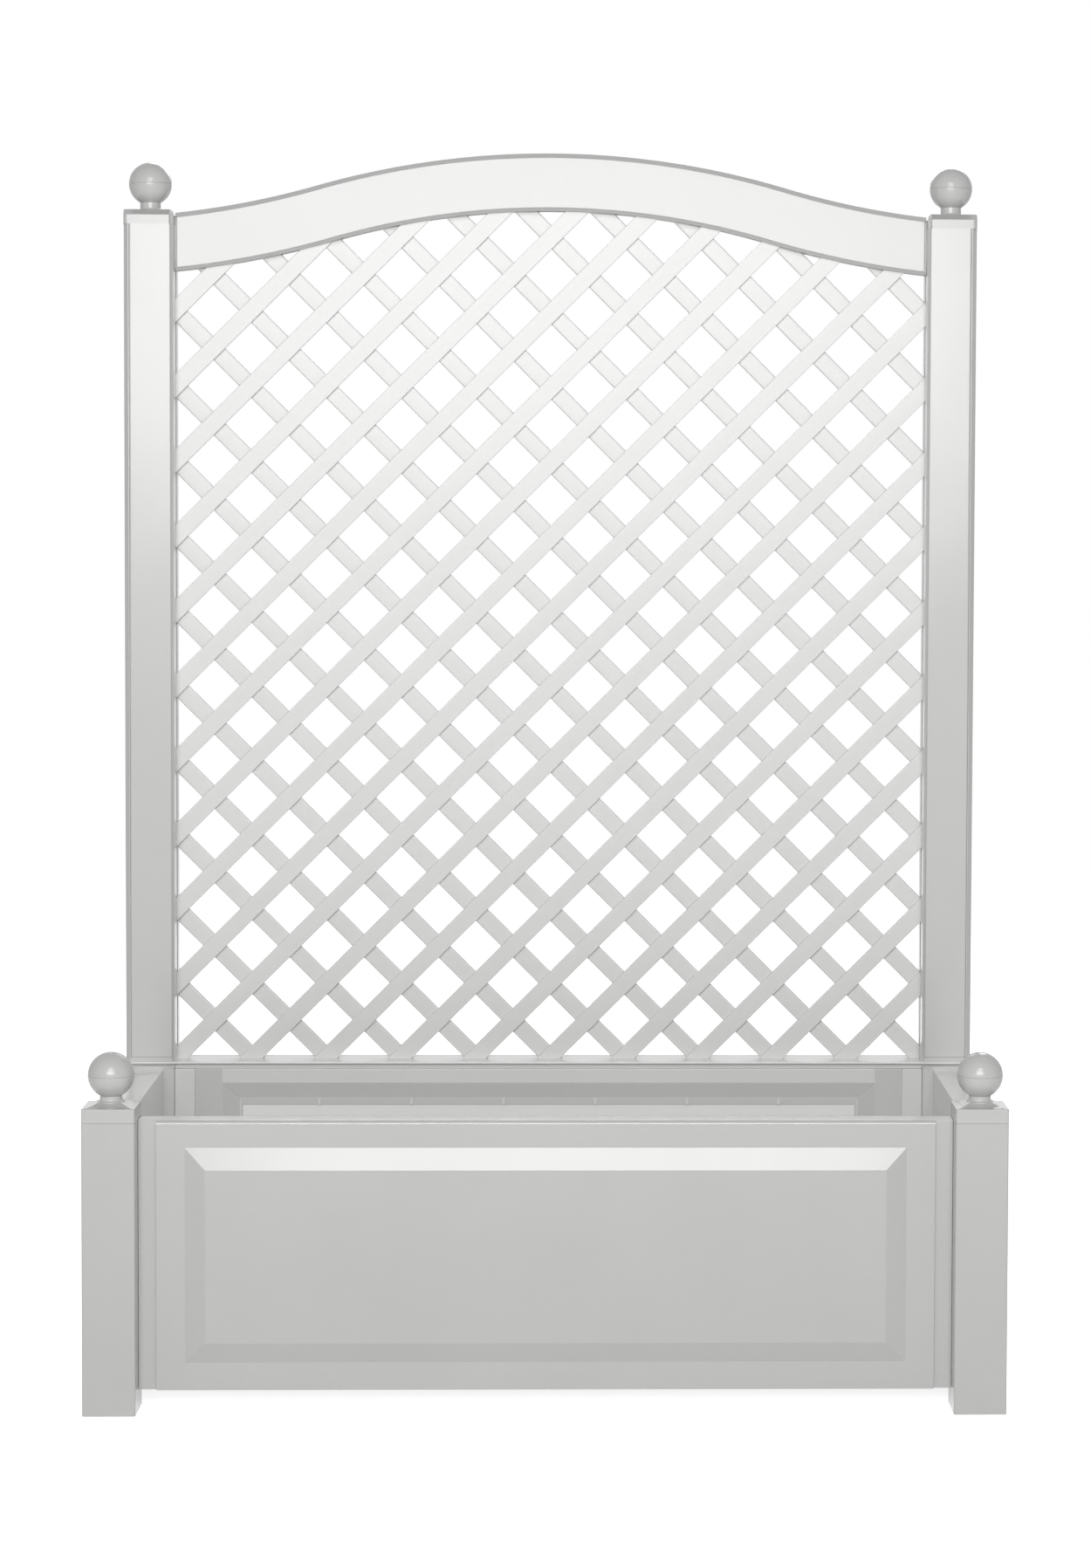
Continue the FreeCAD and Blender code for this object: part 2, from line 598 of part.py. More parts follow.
def arch_rail():
    """The arched rail: open at the back between cross ribs, with a groove below for the lattice."""
    body = arch_band((0, RAIL_HEIGHT), SPAN_HALF - FIT_GAP, (RAIL_BODY_FRONT, RAIL_BACK))
    lip_y = (RAIL_FRONT + LIP_SET, RAIL_BODY_FRONT)
    lips = [
        arch_band((0, RAIL_LIP), SPAN_HALF - FIT_GAP, lip_y),
        arch_band((RAIL_HEIGHT - RAIL_LIP, RAIL_HEIGHT), SPAN_HALF - FIT_GAP, lip_y),
    ]
    tenon_y = (RAIL_BODY_FRONT + RAIL_WALL, LATTICE_BACK)
    tenon = arch_band(TENON_OFFSETS, SPAN_HALF + TENON_LENGTH, tenon_y)
    groove_y = (LATTICE_FRONT - FIT_GAP, LATTICE_BACK + FIT_GAP)
    groove = arch_band((RAIL_HEIGHT - RAIL_GROOVE, RAIL_HEIGHT), SPAN_HALF, groove_y)
    cavity_y = (RAIL_BODY_FRONT + RAIL_WALL, RAIL_BACK)
    cavity = arch_band((RAIL_WALL, CAVITY_BOTTOM), SPAN_HALF - RAIL_WALL, cavity_y)
    bays = []
    bay = 2 * SPAN_HALF / LATTICE_BAYS
    for count in range(LATTICE_BAYS):
        start = -SPAN_HALF + bay * count + RAIL_RIB / 2
        room = block((start, start + bay - RAIL_RIB), cavity_y, (0, OVERALL_HEIGHT))
        bays.append(cavity.common(room))
    return tidy(body.fuse(lips + [tenon]).cut(bays + [groove]))


def arch_cover():
    """The tray that forms the front face of the arched rail."""
    top = RAIL_LIP + RAIL_TOP_GAP
    bottom = RAIL_HEIGHT - RAIL_LIP - RAIL_BOTTOM_GAP
    half_span = SPAN_HALF - FIT_GAP
    tray = arch_band((top, bottom), half_span, (RAIL_FRONT, RAIL_BODY_FRONT))
    hollow_y = (RAIL_FRONT + COVER_WALL, RAIL_BODY_FRONT)
    hollow = arch_band((top + COVER_WALL, bottom - COVER_WALL), half_span - COVER_WALL, hollow_y)
    return tray.cut(hollow)


def lattice_window(y):
    """The outline that the slats are cut to, one layer deep."""
    half = SPAN_HALF + GROOVE_DEPTH + POST_WALL - FIT_GAP
    offset = RAIL_HEIGHT - RAIL_GROOVE + FIT_GAP
    lower = [vec(-half, y, BASE_TOP), vec(half, y, BASE_TOP)]
    edges = arch_curve(offset, half, y)
    edges.append(Part.LineSegment(lower[0], lower[1]).toShape())
    for end, point in zip((LEFT, RIGHT), lower):
        edges.append(Part.LineSegment(point, vec(end * half, y, arch_point(offset, half))).toShape())
    face = Part.Face(Part.Wire(Part.__sortEdges__(edges)))
    return face.extrude(vec(0, SLAT_THICKNESS, 0))


def slat_layer(lean, y):
    """One layer of parallel slats, leaning to one side and cut to the window."""
    slope = math.tan(math.radians(SLAT_ANGLE))
    pitch = slope * 2 * SPAN_HALF / LATTICE_BAYS
    reach = OVERALL_HEIGHT + OVERALL_LENGTH
    first_z = BASE_TOP - LATTICE_SINK
    count = math.ceil((OVERALL_HEIGHT + slope * SPAN_HALF) / pitch) + 1
    slats = []
    for step in range(-LATTICE_BAYS, count):
        bar = block((-reach, reach), (y, y + SLAT_THICKNESS), (-SLAT_WIDTH / 2, SLAT_WIDTH / 2))
        bar.rotate(vec(0, 0, 0), vec(0, 1, 0), -SLAT_ANGLE * lean)
        bar.translate(vec(0, 0, first_z + step * pitch))
        slats.append(bar)
    window = lattice_window(y)
    cut = [window.common(bar) for bar in slats]
    return [piece for shape in cut for piece in shape.Solids]


def lattice():
    """Two crossing layers of slats moulded as one panel, without any loose offcut in a corner."""
    front = slat_layer(RIGHT, LATTICE_FRONT)
    back = slat_layer(LEFT, LATTICE_FRONT + SLAT_THICKNESS)
    joined = front[0].fuse(front[1:] + back)
    return max(joined.Solids, key=lambda solid: solid.Volume)


def build():
    """All the pieces by name."""
    sides = {"left": LEFT, "right": RIGHT}
    ends = {"front": FRONT, "rear": REAR}
    made = walls()
    for side_name, side in sides.items():
        x = side * (HALF_LENGTH - LEG / 2)
        for end_name, end in ends.items():
            made["leg_" + end_name + "_" + side_name] = leg(side, end)
        made["floor_" + side_name] = floor_half(side)
        made["trellis_post_" + side_name] = trellis_post(side)
        made["post_cover_" + side_name] = post_cover(side)
        finials = {"front": (-HALF_DEPTH + LEG / 2, LEG_HEIGHT), "trellis": (HALF_DEPTH - LEG / 2, POST_TOP)}
        for place, (y, seat) in finials.items():
            label = "_" + place + "_" + side_name
            made["cap" + label] = cap(x, y, seat)
            made["ball_lower" + label] = lower_ball(x, y, seat)
            made["ball_upper" + label] = upper_ball(x, y, seat)
    made["trellis_base_rail"] = base_rail()
    made["arch_rail"] = arch_rail()
    made["arch_cover"] = arch_cover()
    made["lattice"] = lattice()
    return made


os.makedirs("parts", exist_ok=True)
for name, shape in build().items():
    count = len(shape.Solids)
    print(name, "solids", count, "valid", shape.isValid(), "volume", round(shape.Volume / 1000, 1), "cm3")
    shape.exportStep("parts/" + name + ".step")
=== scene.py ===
"""A white moulded planter box with an arched lattice trellis standing on its rear legs."""

import logging
import math
from collections.abc import Callable, Iterable, Sequence
from dataclasses import dataclass, field
from enum import Enum
from typing import Any

import bmesh
import bpy
from bmesh.types import BMEdge, BMFace, BMVert
from mathutils import Euler, Matrix, Vector


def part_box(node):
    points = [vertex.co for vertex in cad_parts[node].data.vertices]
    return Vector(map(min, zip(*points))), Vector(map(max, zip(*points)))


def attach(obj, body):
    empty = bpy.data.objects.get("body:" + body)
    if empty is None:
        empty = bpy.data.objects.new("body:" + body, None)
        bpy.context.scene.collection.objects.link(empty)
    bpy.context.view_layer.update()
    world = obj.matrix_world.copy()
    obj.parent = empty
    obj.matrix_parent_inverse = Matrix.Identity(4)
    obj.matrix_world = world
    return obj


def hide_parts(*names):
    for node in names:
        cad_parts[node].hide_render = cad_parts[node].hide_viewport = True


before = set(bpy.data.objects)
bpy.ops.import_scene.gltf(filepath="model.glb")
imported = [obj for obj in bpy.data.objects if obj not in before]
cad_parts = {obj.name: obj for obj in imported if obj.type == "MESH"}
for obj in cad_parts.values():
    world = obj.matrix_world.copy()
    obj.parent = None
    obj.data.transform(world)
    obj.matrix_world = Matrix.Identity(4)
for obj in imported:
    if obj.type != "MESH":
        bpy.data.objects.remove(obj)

log = logging.getLogger("planter")

MM = 0.001
# How far a face or an edge may lie from the place where it is looked for
CLOSE = 0.02 * MM
# How near two points are taken for one
TINY = CLOSE / 10
# How much of a direction has to lie along an axis
ALONG = 0.99
# Edges that turn more than this can be rounded off
SHARP = math.radians(15)
# Edges that turn more than this stay crisp in the shading, and softer ones are shaded round
CREASE = math.radians(19)
# How many faces a round is made of, from a chamfer to a wide round
CHAMFER, FINE, SLIM, PLAIN, WIDE = 1, 2, 3, 5, 6
# The height of the grain on the slats, which are smoother than the rest
FINE_GRAIN = 0.004 * MM
BODY = "root"
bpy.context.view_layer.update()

Point = Sequence[float]
Span = tuple[float, float]


class Axis(Enum):
    """The three directions of the frame, as places in a vector."""

    X = 0
    Y = 1
    Z = 2

    @property
    def unit(self) -> Vector:
        """The unit vector along this direction."""
        return Vector([float(place == self.value) for place in range(3)])


class Place(Enum):
    """A place on the object that node names have a word for."""

    @property
    def label(self) -> str:
        """The word that node names use."""
        return self.name.lower()


class Side(Place):
    """Left and right as seen from the front."""

    LEFT = -1
    RIGHT = 1


class Wall(Place):
    """The four walls of the box, each with its turn about the vertical from the front wall, in degrees."""

    FRONT = 0
    RIGHT = 90
    REAR = 180
    LEFT = -90

    @property
    def turn(self) -> Matrix:
        """The rotation that takes the front wall to this one."""
        return Matrix.Rotation(math.radians(self.value), 4, "Z")


class Slot(Enum):
    """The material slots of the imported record."""

    BOX = "box_plastic"
    INSIDE = "inner_plastic"
    TRELLIS = "trellis_plastic"
    FINIAL = "finial_plastic"


class Accent(Enum):
    """The areas painted lighter or darker than the rest of their slot: painted light and painted shade."""

    RIM = "rim"
    SIDE = "side walls"
    SHADE = "shaded inside"
    CORNER = "rear corners"
    ARCH = "arch"
    FRONT_SLATS = "front slats"
    REAR_SLATS = "rear slats"


def linear(code: str) -> tuple[float, float, float, float]:
    """Turn an sRGB hex colour into linear light.

    Args:
        code: Six hex digits after a hash sign.

    Returns:
        Red, green, blue and a full alpha.
    """
    parts = [int(code[at:at + 2], 16) / 255 for at in (1, 3, 5)]
    light = [c / 12.92 if c <= 0.04045 else ((c + 0.055) / 1.055) ** 2.4 for c in parts]
    return (light[0], light[1], light[2], 1.0)


def put(name: str, data: bpy.types.ID) -> bpy.types.Object:
    """Put a mesh, lamp or camera into the scene.

    Args:
        name: What the object is called.
        data: What it shows.

    Returns:
        The new object, at the origin.
    """
    made = bpy.data.objects.new(name, data)
    bpy.context.scene.collection.objects.link(made)
    return made


def fresh_tree(owner: bpy.types.Material | bpy.types.World) -> bpy.types.NodeTree:
    """Give a material or a world an empty node tree.

    Args:
        owner: The material or world.

    Returns:
        Its node tree.
    """
    owner.use_nodes = True
    owner.node_tree.nodes.clear()
    return owner.node_tree


def add_node(
    tree: bpy.types.NodeTree, kind: str, inputs: dict[str | int, Any] | None = None, **settings: Any,
) -> bpy.types.Node:
    """Add a node with its settings, values and links.

    Args:
        tree: The node tree that gets it.
        kind: The node's type name.
        inputs: A value, or an output socket to link from, for each input.
        settings: Properties of the node itself.

    Returns:
        The new node.
    """
    node = tree.nodes.new(kind)
    for name, value in settings.items():
        setattr(node, name, value)
    for name, value in (inputs or {}).items():
        if isinstance(value, bpy.types.NodeSocket):
            tree.links.new(value, node.inputs[name])
        else:
            node.inputs[name].default_value = value
    return node


@dataclass(frozen=True)
class MouldedPolypropylene:
    """White polypropylene from a steel mould.

    To the eye it is a soft satin plastic: faint clouds of tone where the melt flowed, a fine even grain from
    the mould, and slightly wavy reflections where the wall sank as it cooled.
    """

    name: str  # What the material is called
    tone: str  # The main colour
    cloud_tone: str  # The colour of the flow clouds
    roughness: float  # The gloss at the smoothest places
    roughness_spread: float = 0.08  # How much duller the grain makes it
    cloud_size: float = 110 * MM  # The width of a flow cloud
    grain_size: float = 2.2 * MM  # The spacing of the grain, drawn coarser than the real one so that it shows
    grain_depth: float = 0.012 * MM  # The height of the grain
    wave_size: float = 130 * MM  # The width of a sink in the wall
    wave_depth: float = 0.5 * MM  # The depth of a sink
    ior: float = 1.49  # The refractive index of polypropylene

    def material(self) -> bpy.types.Material:
        """Build the material.

        Returns:
            A node material on Object coordinates.
        """
        made = bpy.data.materials.new(self.name)
        tree = fresh_tree(made)
        place = add_node(tree, "ShaderNodeTexCoord").outputs["Object"]
        clouds, grain, waves = (
            add_node(
                tree, "ShaderNodeTexNoise",
                {"Vector": place, "Scale": 1 / size, "Detail": detail, "Roughness": 0.5},
            ).outputs[0]
            for size, detail in ((self.cloud_size, 3.0), (self.grain_size, 2.0), (self.wave_size, 0.0))
        )
        tone = add_node(
            tree, "ShaderNodeMix",
            {0: clouds, 6: linear(self.tone), 7: linear(self.cloud_tone)}, data_type="RGBA",
        ).outputs[2]
        gloss = add_node(
            tree, "ShaderNodeMapRange",
            {"Value": grain, "To Min": self.roughness, "To Max": self.roughness + self.roughness_spread},
        ).outputs[0]
        sunk = add_node(
            tree, "ShaderNodeBump", {"Height": waves, "Distance": self.wave_depth, "Strength": 1.0},
        ).outputs[0]
        relief = add_node(
            tree, "ShaderNodeBump",
            {"Height": grain, "Distance": self.grain_depth, "Strength": 1.0, "Normal": sunk},
        ).outputs[0]
        shader = add_node(
            tree, "ShaderNodeBsdfPrincipled",
            {"Base Color": tone, "Roughness": gloss, "IOR": self.ior, "Normal": relief},
        )
        add_node(tree, "ShaderNodeOutputMaterial", {"Surface": shader.outputs[0]})
        return made


class Palette:
    """The finishes of the object, each built once."""

    FINISHES = {
        Slot.BOX: MouldedPolypropylene("moulded polypropylene box", "#B9B9B8", "#B4B4B3", 0.10),
        Slot.INSIDE: MouldedPolypropylene("moulded polypropylene inside", "#D3D3D2", "#CDCDCC", 0.22),
        Slot.TRELLIS: MouldedPolypropylene("moulded polypropylene trellis", "#C2C2C1", "#BDBDBC", 0.16),
        Slot.FINIAL: MouldedPolypropylene("polished polypropylene finial", "#BCBCBB", "#B7B7B6", 0.19),
        # Painted light: a lighter copy of the plastic for the front rim's top, the base rail, the posts' inner
        # sides and the liners' plates
        Accent.RIM: MouldedPolypropylene("moulded polypropylene rim", "#E2E2E1", "#DDDDDC", 0.16),
        # Strong painted light: a near-white copy for the side walls' rims and liners and the side slopes of the
        # front caps' roofs
        Accent.SIDE: MouldedPolypropylene("moulded polypropylene side walls", "#F6F6F5", "#F1F1F0", 0.18),
        Accent.SHADE: MouldedPolypropylene("moulded polypropylene shaded inside", "#C3C3C2", "#BEBEBD", 0.22),
        # Painted light in the rear corners: a lighter copy for the inward faces of the rear legs
        Accent.CORNER: MouldedPolypropylene("moulded polypropylene rear corners", "#C9C9C8", "#C4C4C3", 0.16),
        # Painted shade on the arch: a darker copy of the trellis plastic for the arch cover
        Accent.ARCH: MouldedPolypropylene("moulded polypropylene arch", "#BBBBBA", "#B6B6B5", 0.16),
        # Mild painted light: a lighter copy of the trellis plastic for the lattice and the rear panel's rim
        Accent.FRONT_SLATS: MouldedPolypropylene(
            "moulded polypropylene front slats", "#D2D2D1", "#CDCDCC", 0.27, grain_depth=FINE_GRAIN,
        ),
        # Painted light on the rear slats: a lighter, duller copy of the trellis plastic
        Accent.REAR_SLATS: MouldedPolypropylene(
            "moulded polypropylene rear slats", "#D6D6D5", "#D1D1D0", 0.42, grain_depth=FINE_GRAIN,
        ),
    }

    def __init__(self) -> None:
        """Build every material."""
        self.materials = {key: finish.material() for key, finish in self.FINISHES.items()}

    def repaint(
        self, piece: bpy.types.Object, painted_light_or_shade: Accent,
        chosen: Callable[[bpy.types.MeshPolygon], bool] | None = None,
    ) -> None:
        """Paint light or shade onto a piece, or onto some of its faces, with a lighter or darker copy of its
        plastic.

        Args:
            piece: The finished piece.
            painted_light_or_shade: The lighter or darker plastic that paints the light or shade.
            chosen: Whether a face gets it. Without this the whole piece does.
        """
        mesh = piece.data
        if chosen is None:
            mesh.materials[0] = self.materials[painted_light_or_shade]
            return
        mesh.materials.append(self.materials[painted_light_or_shade])
        for polygon in filter(chosen, mesh.polygons):
            polygon.material_index = len(mesh.materials) - 1

    def dress_node(self, node: str, slot: Slot) -> None:
        """Give a node of the frame its finish.

        Args:
            node: The node's name.
            slot: The slot whose finish it gets.
        """
        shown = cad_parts[node]
        if not shown.material_slots:
            shown.data.materials.append(None)
        for holder in shown.material_slots:
            holder.material = self.materials[slot]
        log.info("%s keeps its frame mesh", node)


class Shape:
    """A mesh in the making, in metres and in the object's frame."""

    def __init__(self) -> None:
        """Start with nothing."""
        self.mesh = bmesh.new()

    def bar(self, start: Point, stop: Point) -> list[BMFace]:
        """Add a box between two opposite corners.

        Args:
            start: One corner.
            stop: The opposite corner.

        Returns:
            The six faces.
        """
        middle = (Vector(start) + Vector(stop)) / 2
        size = [abs(a - b) for a, b in zip(start, stop)]
        return self.block(Matrix.Translation(middle) @ Matrix.Diagonal((*size, 1)))

    def block(self, place: Matrix) -> list[BMFace]:
        """Add what a matrix makes of a cube with a side of 1 round the origin, and return its six faces."""
        made = bmesh.ops.create_cube(self.mesh, size=1, matrix=place)
        return list(dict.fromkeys(face for vert in made["verts"] for face in vert.link_faces))

    def facing(self, faces: Iterable[BMFace], axis: Axis, at: float) -> list[BMFace]:
        """Find the faces that lie in a plane across an axis.

        Args:
            faces: Where to look.
            axis: The direction square to the plane.
            at: The place of the plane.

        Returns:
            The faces found.
        """
        self.mesh.normal_update()
        return [
            face for face in faces
            if abs(face.normal[axis.value]) > ALONG
            and abs(face.calc_center_median()[axis.value] - at) < CLOSE
        ]

    def around(self, faces: Iterable[BMFace]) -> list[Any]:
        """Gather faces with their vertices and edges.

        Args:
            faces: The faces.

        Returns:
            The vertices, the edges and the faces.
        """
        faces = list(faces)
        verts = dict.fromkeys(vert for face in faces for vert in face.verts)
        edges = dict.fromkeys(edge for face in faces for edge in face.edges)
        return [*verts, *edges, *faces]

    def split(self, faces: list[BMFace], axis: Axis, at: float) -> list[BMFace]:
        """Cut faces along a plane across an axis.

        Args:
            faces: The faces to cut.
            axis: The direction square to the plane.
            at: The place of the plane.

        Returns:
            What the faces became.
        """
        made = bmesh.ops.bisect_plane(
            self.mesh, geom=self.around(faces), dist=TINY, plane_co=axis.unit * at, plane_no=axis.unit,
        )
        return [item for item in made["geom"] if isinstance(item, BMFace)]

    def window(self, faces: list[BMFace], spans: dict[Axis, Span]) -> list[BMFace]:
        """Cut a rectangle out of flat faces.

        Args:
            faces: The faces to cut.
            spans: The two ends of the rectangle along each axis.

        Returns:
            The faces inside the rectangle.
        """
        for axis, ends in spans.items():
            for at in ends:
                faces = self.split(faces, axis, at)
        return [
            face for face in faces
            if all(
                min(ends) < face.calc_center_median()[axis.value] < max(ends) for axis, ends in spans.items()
            )
        ]

    def push(self, faces: list[BMFace], move: Point) -> None:
        """Draw faces out, or push them in, as one region.

        Args:
            faces: The faces to move.
            move: How far, as a vector.
        """
        made = bmesh.ops.extrude_face_region(self.mesh, geom=self.around(faces))["geom"]
        bmesh.ops.translate(self.mesh, vec=Vector(move), verts=[v for v in made if isinstance(v, BMVert)])
        self.mesh.normal_update()

    def slope(self, faces: list[BMFace], width: float, rise: float) -> list[BMFace]:
        """Raise or sink a field that has sloping sides.

        Args:
            faces: The faces that the field is made from.
            width: How wide the slope is in the plane of the faces.
            rise: How far the field stands out, or is sunk if negative.

        Returns:
            The flat of the field.
        """
        self.mesh.normal_update()
        bmesh.ops.inset_region(
            self.mesh, faces=faces, thickness=width, depth=rise, use_even_offset=True, use_boundary=True,
        )
        return faces

    def edges_at(self, along: Axis, places: dict[Axis, float]) -> list[BMEdge]:
        """Find straight edges by their direction and place.

        Args:
            along: The direction that they run in.
            places: Where their middles lie on the other axes.

        Returns:
            The edges found.
        """
        found = []
        for edge in self.mesh.edges:
            run = edge.verts[1].co - edge.verts[0].co
            middle = (edge.verts[1].co + edge.verts[0].co) / 2
            straight = abs(run[along.value]) > ALONG * run.length
            if straight and all(abs(middle[axis.value] - at) < CLOSE for axis, at in places.items()):
                found.append(edge)
        return found

    def sharp_edges(self, skip: Callable[[BMEdge], bool] | None = None) -> list[BMEdge]:
        """Find the edges where two faces meet at an angle.

        Args:
            skip: A test for edges to leave out.

        Returns:
            The edges found.
        """
        self.mesh.normal_update()
        sharp = [edge for edge in self.mesh.edges if edge.is_manifold and edge.calc_face_angle() > SHARP]
        return [edge for edge in sharp if skip is None or not skip(edge)]

    def level_edges(self, at: float) -> list[BMEdge]:
        """Find the sharp edges that lie at a height."""
        return self.sharp_edges(lambda edge: any(abs(vert.co.z - at) > CLOSE for vert in edge.verts))

    def soften(self, edges: list[BMEdge], radius: float, segments: int) -> list[BMFace]:
        """Round edges off.

        Args:
            edges: The edges to round.
            radius: The size of the round.
            segments: How many faces the round has.

        Returns:
            The faces of the rounds.
        """
        return bmesh.ops.bevel(
            self.mesh, geom=edges, offset=radius, offset_type="OFFSET", affect="EDGES",
            segments=segments, profile=0.5, material=-1, clamp_overlap=True,
        )["faces"]

    def trim(self, point: Point, outward: Point, items: list[Any] | None = None) -> list[Any]:
        """Cut off what lies beyond a plane and close the end.

        Args:
            point: A point of the plane.
            outward: The direction in which the rest is cut off.
            items: The vertices, edges and faces of one closed part of the mesh. Without this all of it is cut.

        Returns:
            The vertices, edges and faces that are left.
        """
        made = bmesh.ops.bisect_plane(
            self.mesh, geom=self.around(self.mesh.faces) if items is None else items, dist=TINY,
            plane_co=Vector(point), plane_no=Vector(outward), clear_outer=True,
        )
        rim = [item for item in made["geom_cut"] if isinstance(item, BMEdge)]
        left = [item for item in made["geom"] if item.is_valid]
        if rim:
            left += bmesh.ops.edgeloop_fill(self.mesh, edges=rim)["faces"]
        return left

    def turned(self, outline: Sequence[Span], centre: Point, steps: int) -> None:
        """Add a solid of revolution round an upright axis.

        Args:
            outline: Radius and height of each corner, with both ends on the axis.
            centre: The foot of the axis.
            steps: How many faces go round.
        """
        foot = Vector(centre)
        corners = [self.mesh.verts.new(foot + Vector((radius, 0, height))) for radius, height in outline]
        runs = [self.mesh.edges.new(pair) for pair in zip(corners, corners[1:])]
        bmesh.ops.spin(
            self.mesh, geom=[*corners, *runs], cent=foot, axis=Axis.Z.unit, angle=2 * math.pi,
            steps=steps, use_merge=True,
        )
        bmesh.ops.remove_doubles(self.mesh, verts=self.mesh.verts, dist=TINY)

    def turn(self, matrix: Matrix) -> None:
        """Move the whole mesh by a matrix."""
        bmesh.ops.transform(self.mesh, matrix=matrix, verts=self.mesh.verts)

    def piece(self, node: str, slot: Slot, palette: Palette) -> bpy.types.Object:
        """Finish the mesh as a piece that stands for a node of the frame.

        Args:
            node: The node that it stands for.
            slot: The material slot.
            palette: Where the finish comes from.

        Returns:
            The finished object.
        """
        bmesh.ops.dissolve_degenerate(self.mesh, dist=TINY, edges=self.mesh.edges)
        bmesh.ops.recalc_face_normals(self.mesh, faces=self.mesh.faces)
        data = bpy.data.meshes.new(f"{node}_moulding")
        self.mesh.to_mesh(data)
        self.mesh.free()
        data.shade_smooth()
        data.set_sharp_from_angle(angle=CREASE)
        data.materials.append(palette.materials[slot])
        made = put(data.name, data)
        flat = made.modifiers.new("flat faces stay flat", "WEIGHTED_NORMAL")
        flat.keep_sharp = True
        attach(made, BODY)
        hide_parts(node)
        log.info("%s has %d faces", made.name, len(data.polygons))
        return made


@dataclass
class PlanterBox:
    """The box: four legs, four double walls and a floor in two halves."""

    palette: Palette  # Where the finishes come from
    leg_round: float = 2 * MM  # The round of a leg's upright edges
    edge_round: float = 0.8 * MM  # The small round of every moulded edge
    field_rise: float = 10 * MM  # How far a panel's field stands out
    field_slope: float = 23 * MM  # How wide the slope round the field is
    field_side_margin: float = 50.5 * MM  # From the end of the panel to the field
    field_end_margin: float = 30.3 * MM  # From the top or bottom of the panel to the field
    strip_width: float = 19.5 * MM  # The width of the recessed strip beside a leg
    strip_step: float = 4 * MM  # How far the strip lies back
    wall: float = 3 * MM  # The thickness of a panel
    tuck: float = 8 * MM  # How far a panel's walls end behind the face of the liner
    rim_round: float = 4 * MM  # The round of the rim's outer edge
    rim_crown: float = 1 * MM  # How much the rim swells in the middle
    rim_cuts: int = 7  # How many cuts along the rim carry that swell
    lining_wall: float = 2.5 * MM  # The thickness of a liner
    lining_strip: float = 23.7 * MM  # The width of the strip at each end of a liner
    lining_step: float = 2.2 * MM  # How far the rest of the liner lies behind those strips
    lining_side_margin: float = 56.2 * MM  # From the end of the liner to its sunk field
    lining_end_margin: float = 12.5 * MM  # From the top or bottom of the liner to its sunk field
    lining_slope: float = 19.5 * MM  # How wide the slope into the sunk field is
    lining_recess: float = 10 * MM  # How deep the field is sunk
    lip_rise: float = 1.4 * MM  # How far the rear liner stands above the rim
    plate_sink: float = 1.5 * MM  # How far the plate lies behind the rest of the field
    plate_side_gap: float = 3 * MM  # From the slope to the ends of the plate
    plate_end_gap: float = 8 * MM  # From the slope to the top and bottom of the plate
    gusset_rise: float = 2 * MM  # How far the gussets beside the plate stand up
    gusset_pitch: float = 109 * MM  # The distance between gussets
    gusset_thickness: float = 3 * MM  # The thickness of a gusset

    def build(self) -> None:
        """Build the legs and walls, and dress the floor."""
        for end in ("front", "rear"):
            for side in Side:
                self.build_leg(f"leg_{end}_{side.label}")
        for wall in Wall:
            self.build_panel(wall)
            if wall in (Wall.FRONT, Wall.REAR):
                self.build_long_liner(wall)
            else:
                self.build_side_liner(wall)
        for side in Side:
            self.palette.dress_node(f"floor_{side.label}", Slot.INSIDE)

    def build_leg(self, node: str) -> None:
        """Build a square leg with rounded edges.

        Args:
            node: The node that it stands for.
        """
        low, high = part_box(node)
        shape = Shape()
        shape.bar(low, high)
        shape.soften(shape.edges_at(Axis.Z, {}), self.leg_round, PLAIN)
        shape.soften(shape.level_edges(low.z), self.edge_round, FINE)
        made = shape.piece(node, Slot.BOX, self.palette)
        # The faces of a rear leg that face into the box are painted lighter: painted light.
        if low.y > 0:
            self.palette.repaint(made, Accent.CORNER, lambda face: face.center.y < low.y + self.leg_round)

    def wall_frame(self, wall: Wall, kind: str) -> tuple[Vector, Vector]:
        """Find the lowest and highest corner of a wall's panel or liner, turned to where the front wall is."""
        corners = [wall.turn.inverted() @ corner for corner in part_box(f"{wall.label}_{kind}")]
        return Vector(map(min, *corners)), Vector(map(max, *corners))

    def build_panel(self, wall: Wall) -> None:
        """Build the outer shell of a wall: a raised field, two recessed strips and a crowned rim.

        Args:
            wall: The wall that it belongs to.
        """
        low, high = self.wall_frame(wall, "panel")
        lining = self.wall_frame(wall, "liner")[1]
        half, inner = lining.x, lining.y
        if wall is Wall.REAR:
            inner -= self.lining_step + self.lining_wall
        face = low.y + self.field_rise
        shoulder = high.z - self.rim_crown
        joint = half - self.strip_width
        shape = Shape()
        body = shape.bar((-joint, face, low.z), (joint, inner, shoulder))
        field_half = half - self.field_side_margin
        field_z = (low.z + self.field_end_margin, high.z - self.field_end_margin)
        front = shape.facing(body, Axis.Y, face)
        raised = shape.window(front, {Axis.X: (-field_half, field_half), Axis.Z: field_z})
        shape.slope(raised, self.field_slope, self.field_rise)
        strip_face = face + self.strip_step
        for side in Side:
            shape.bar((side.value * joint, strip_face, low.z), (side.value * half, inner, shoulder))
        for place in (face, strip_face):
            shape.soften(shape.edges_at(Axis.X, {Axis.Y: place, Axis.Z: shoulder}), self.rim_round, WIDE)
        for pocket in shape.facing(shape.mesh.faces, Axis.Y, inner):
            shape.slope([pocket], self.wall, 0)
            shape.push([pocket], (0, strip_face + self.wall - inner, 0))
        for vert in shape.mesh.verts:
            if vert.co.y > inner - CLOSE and vert.co.z < shoulder - CLOSE:
                vert.co.y -= self.tuck
        shape.bar((-half, inner - self.tuck, low.z), (half, high.y, low.z + self.wall))

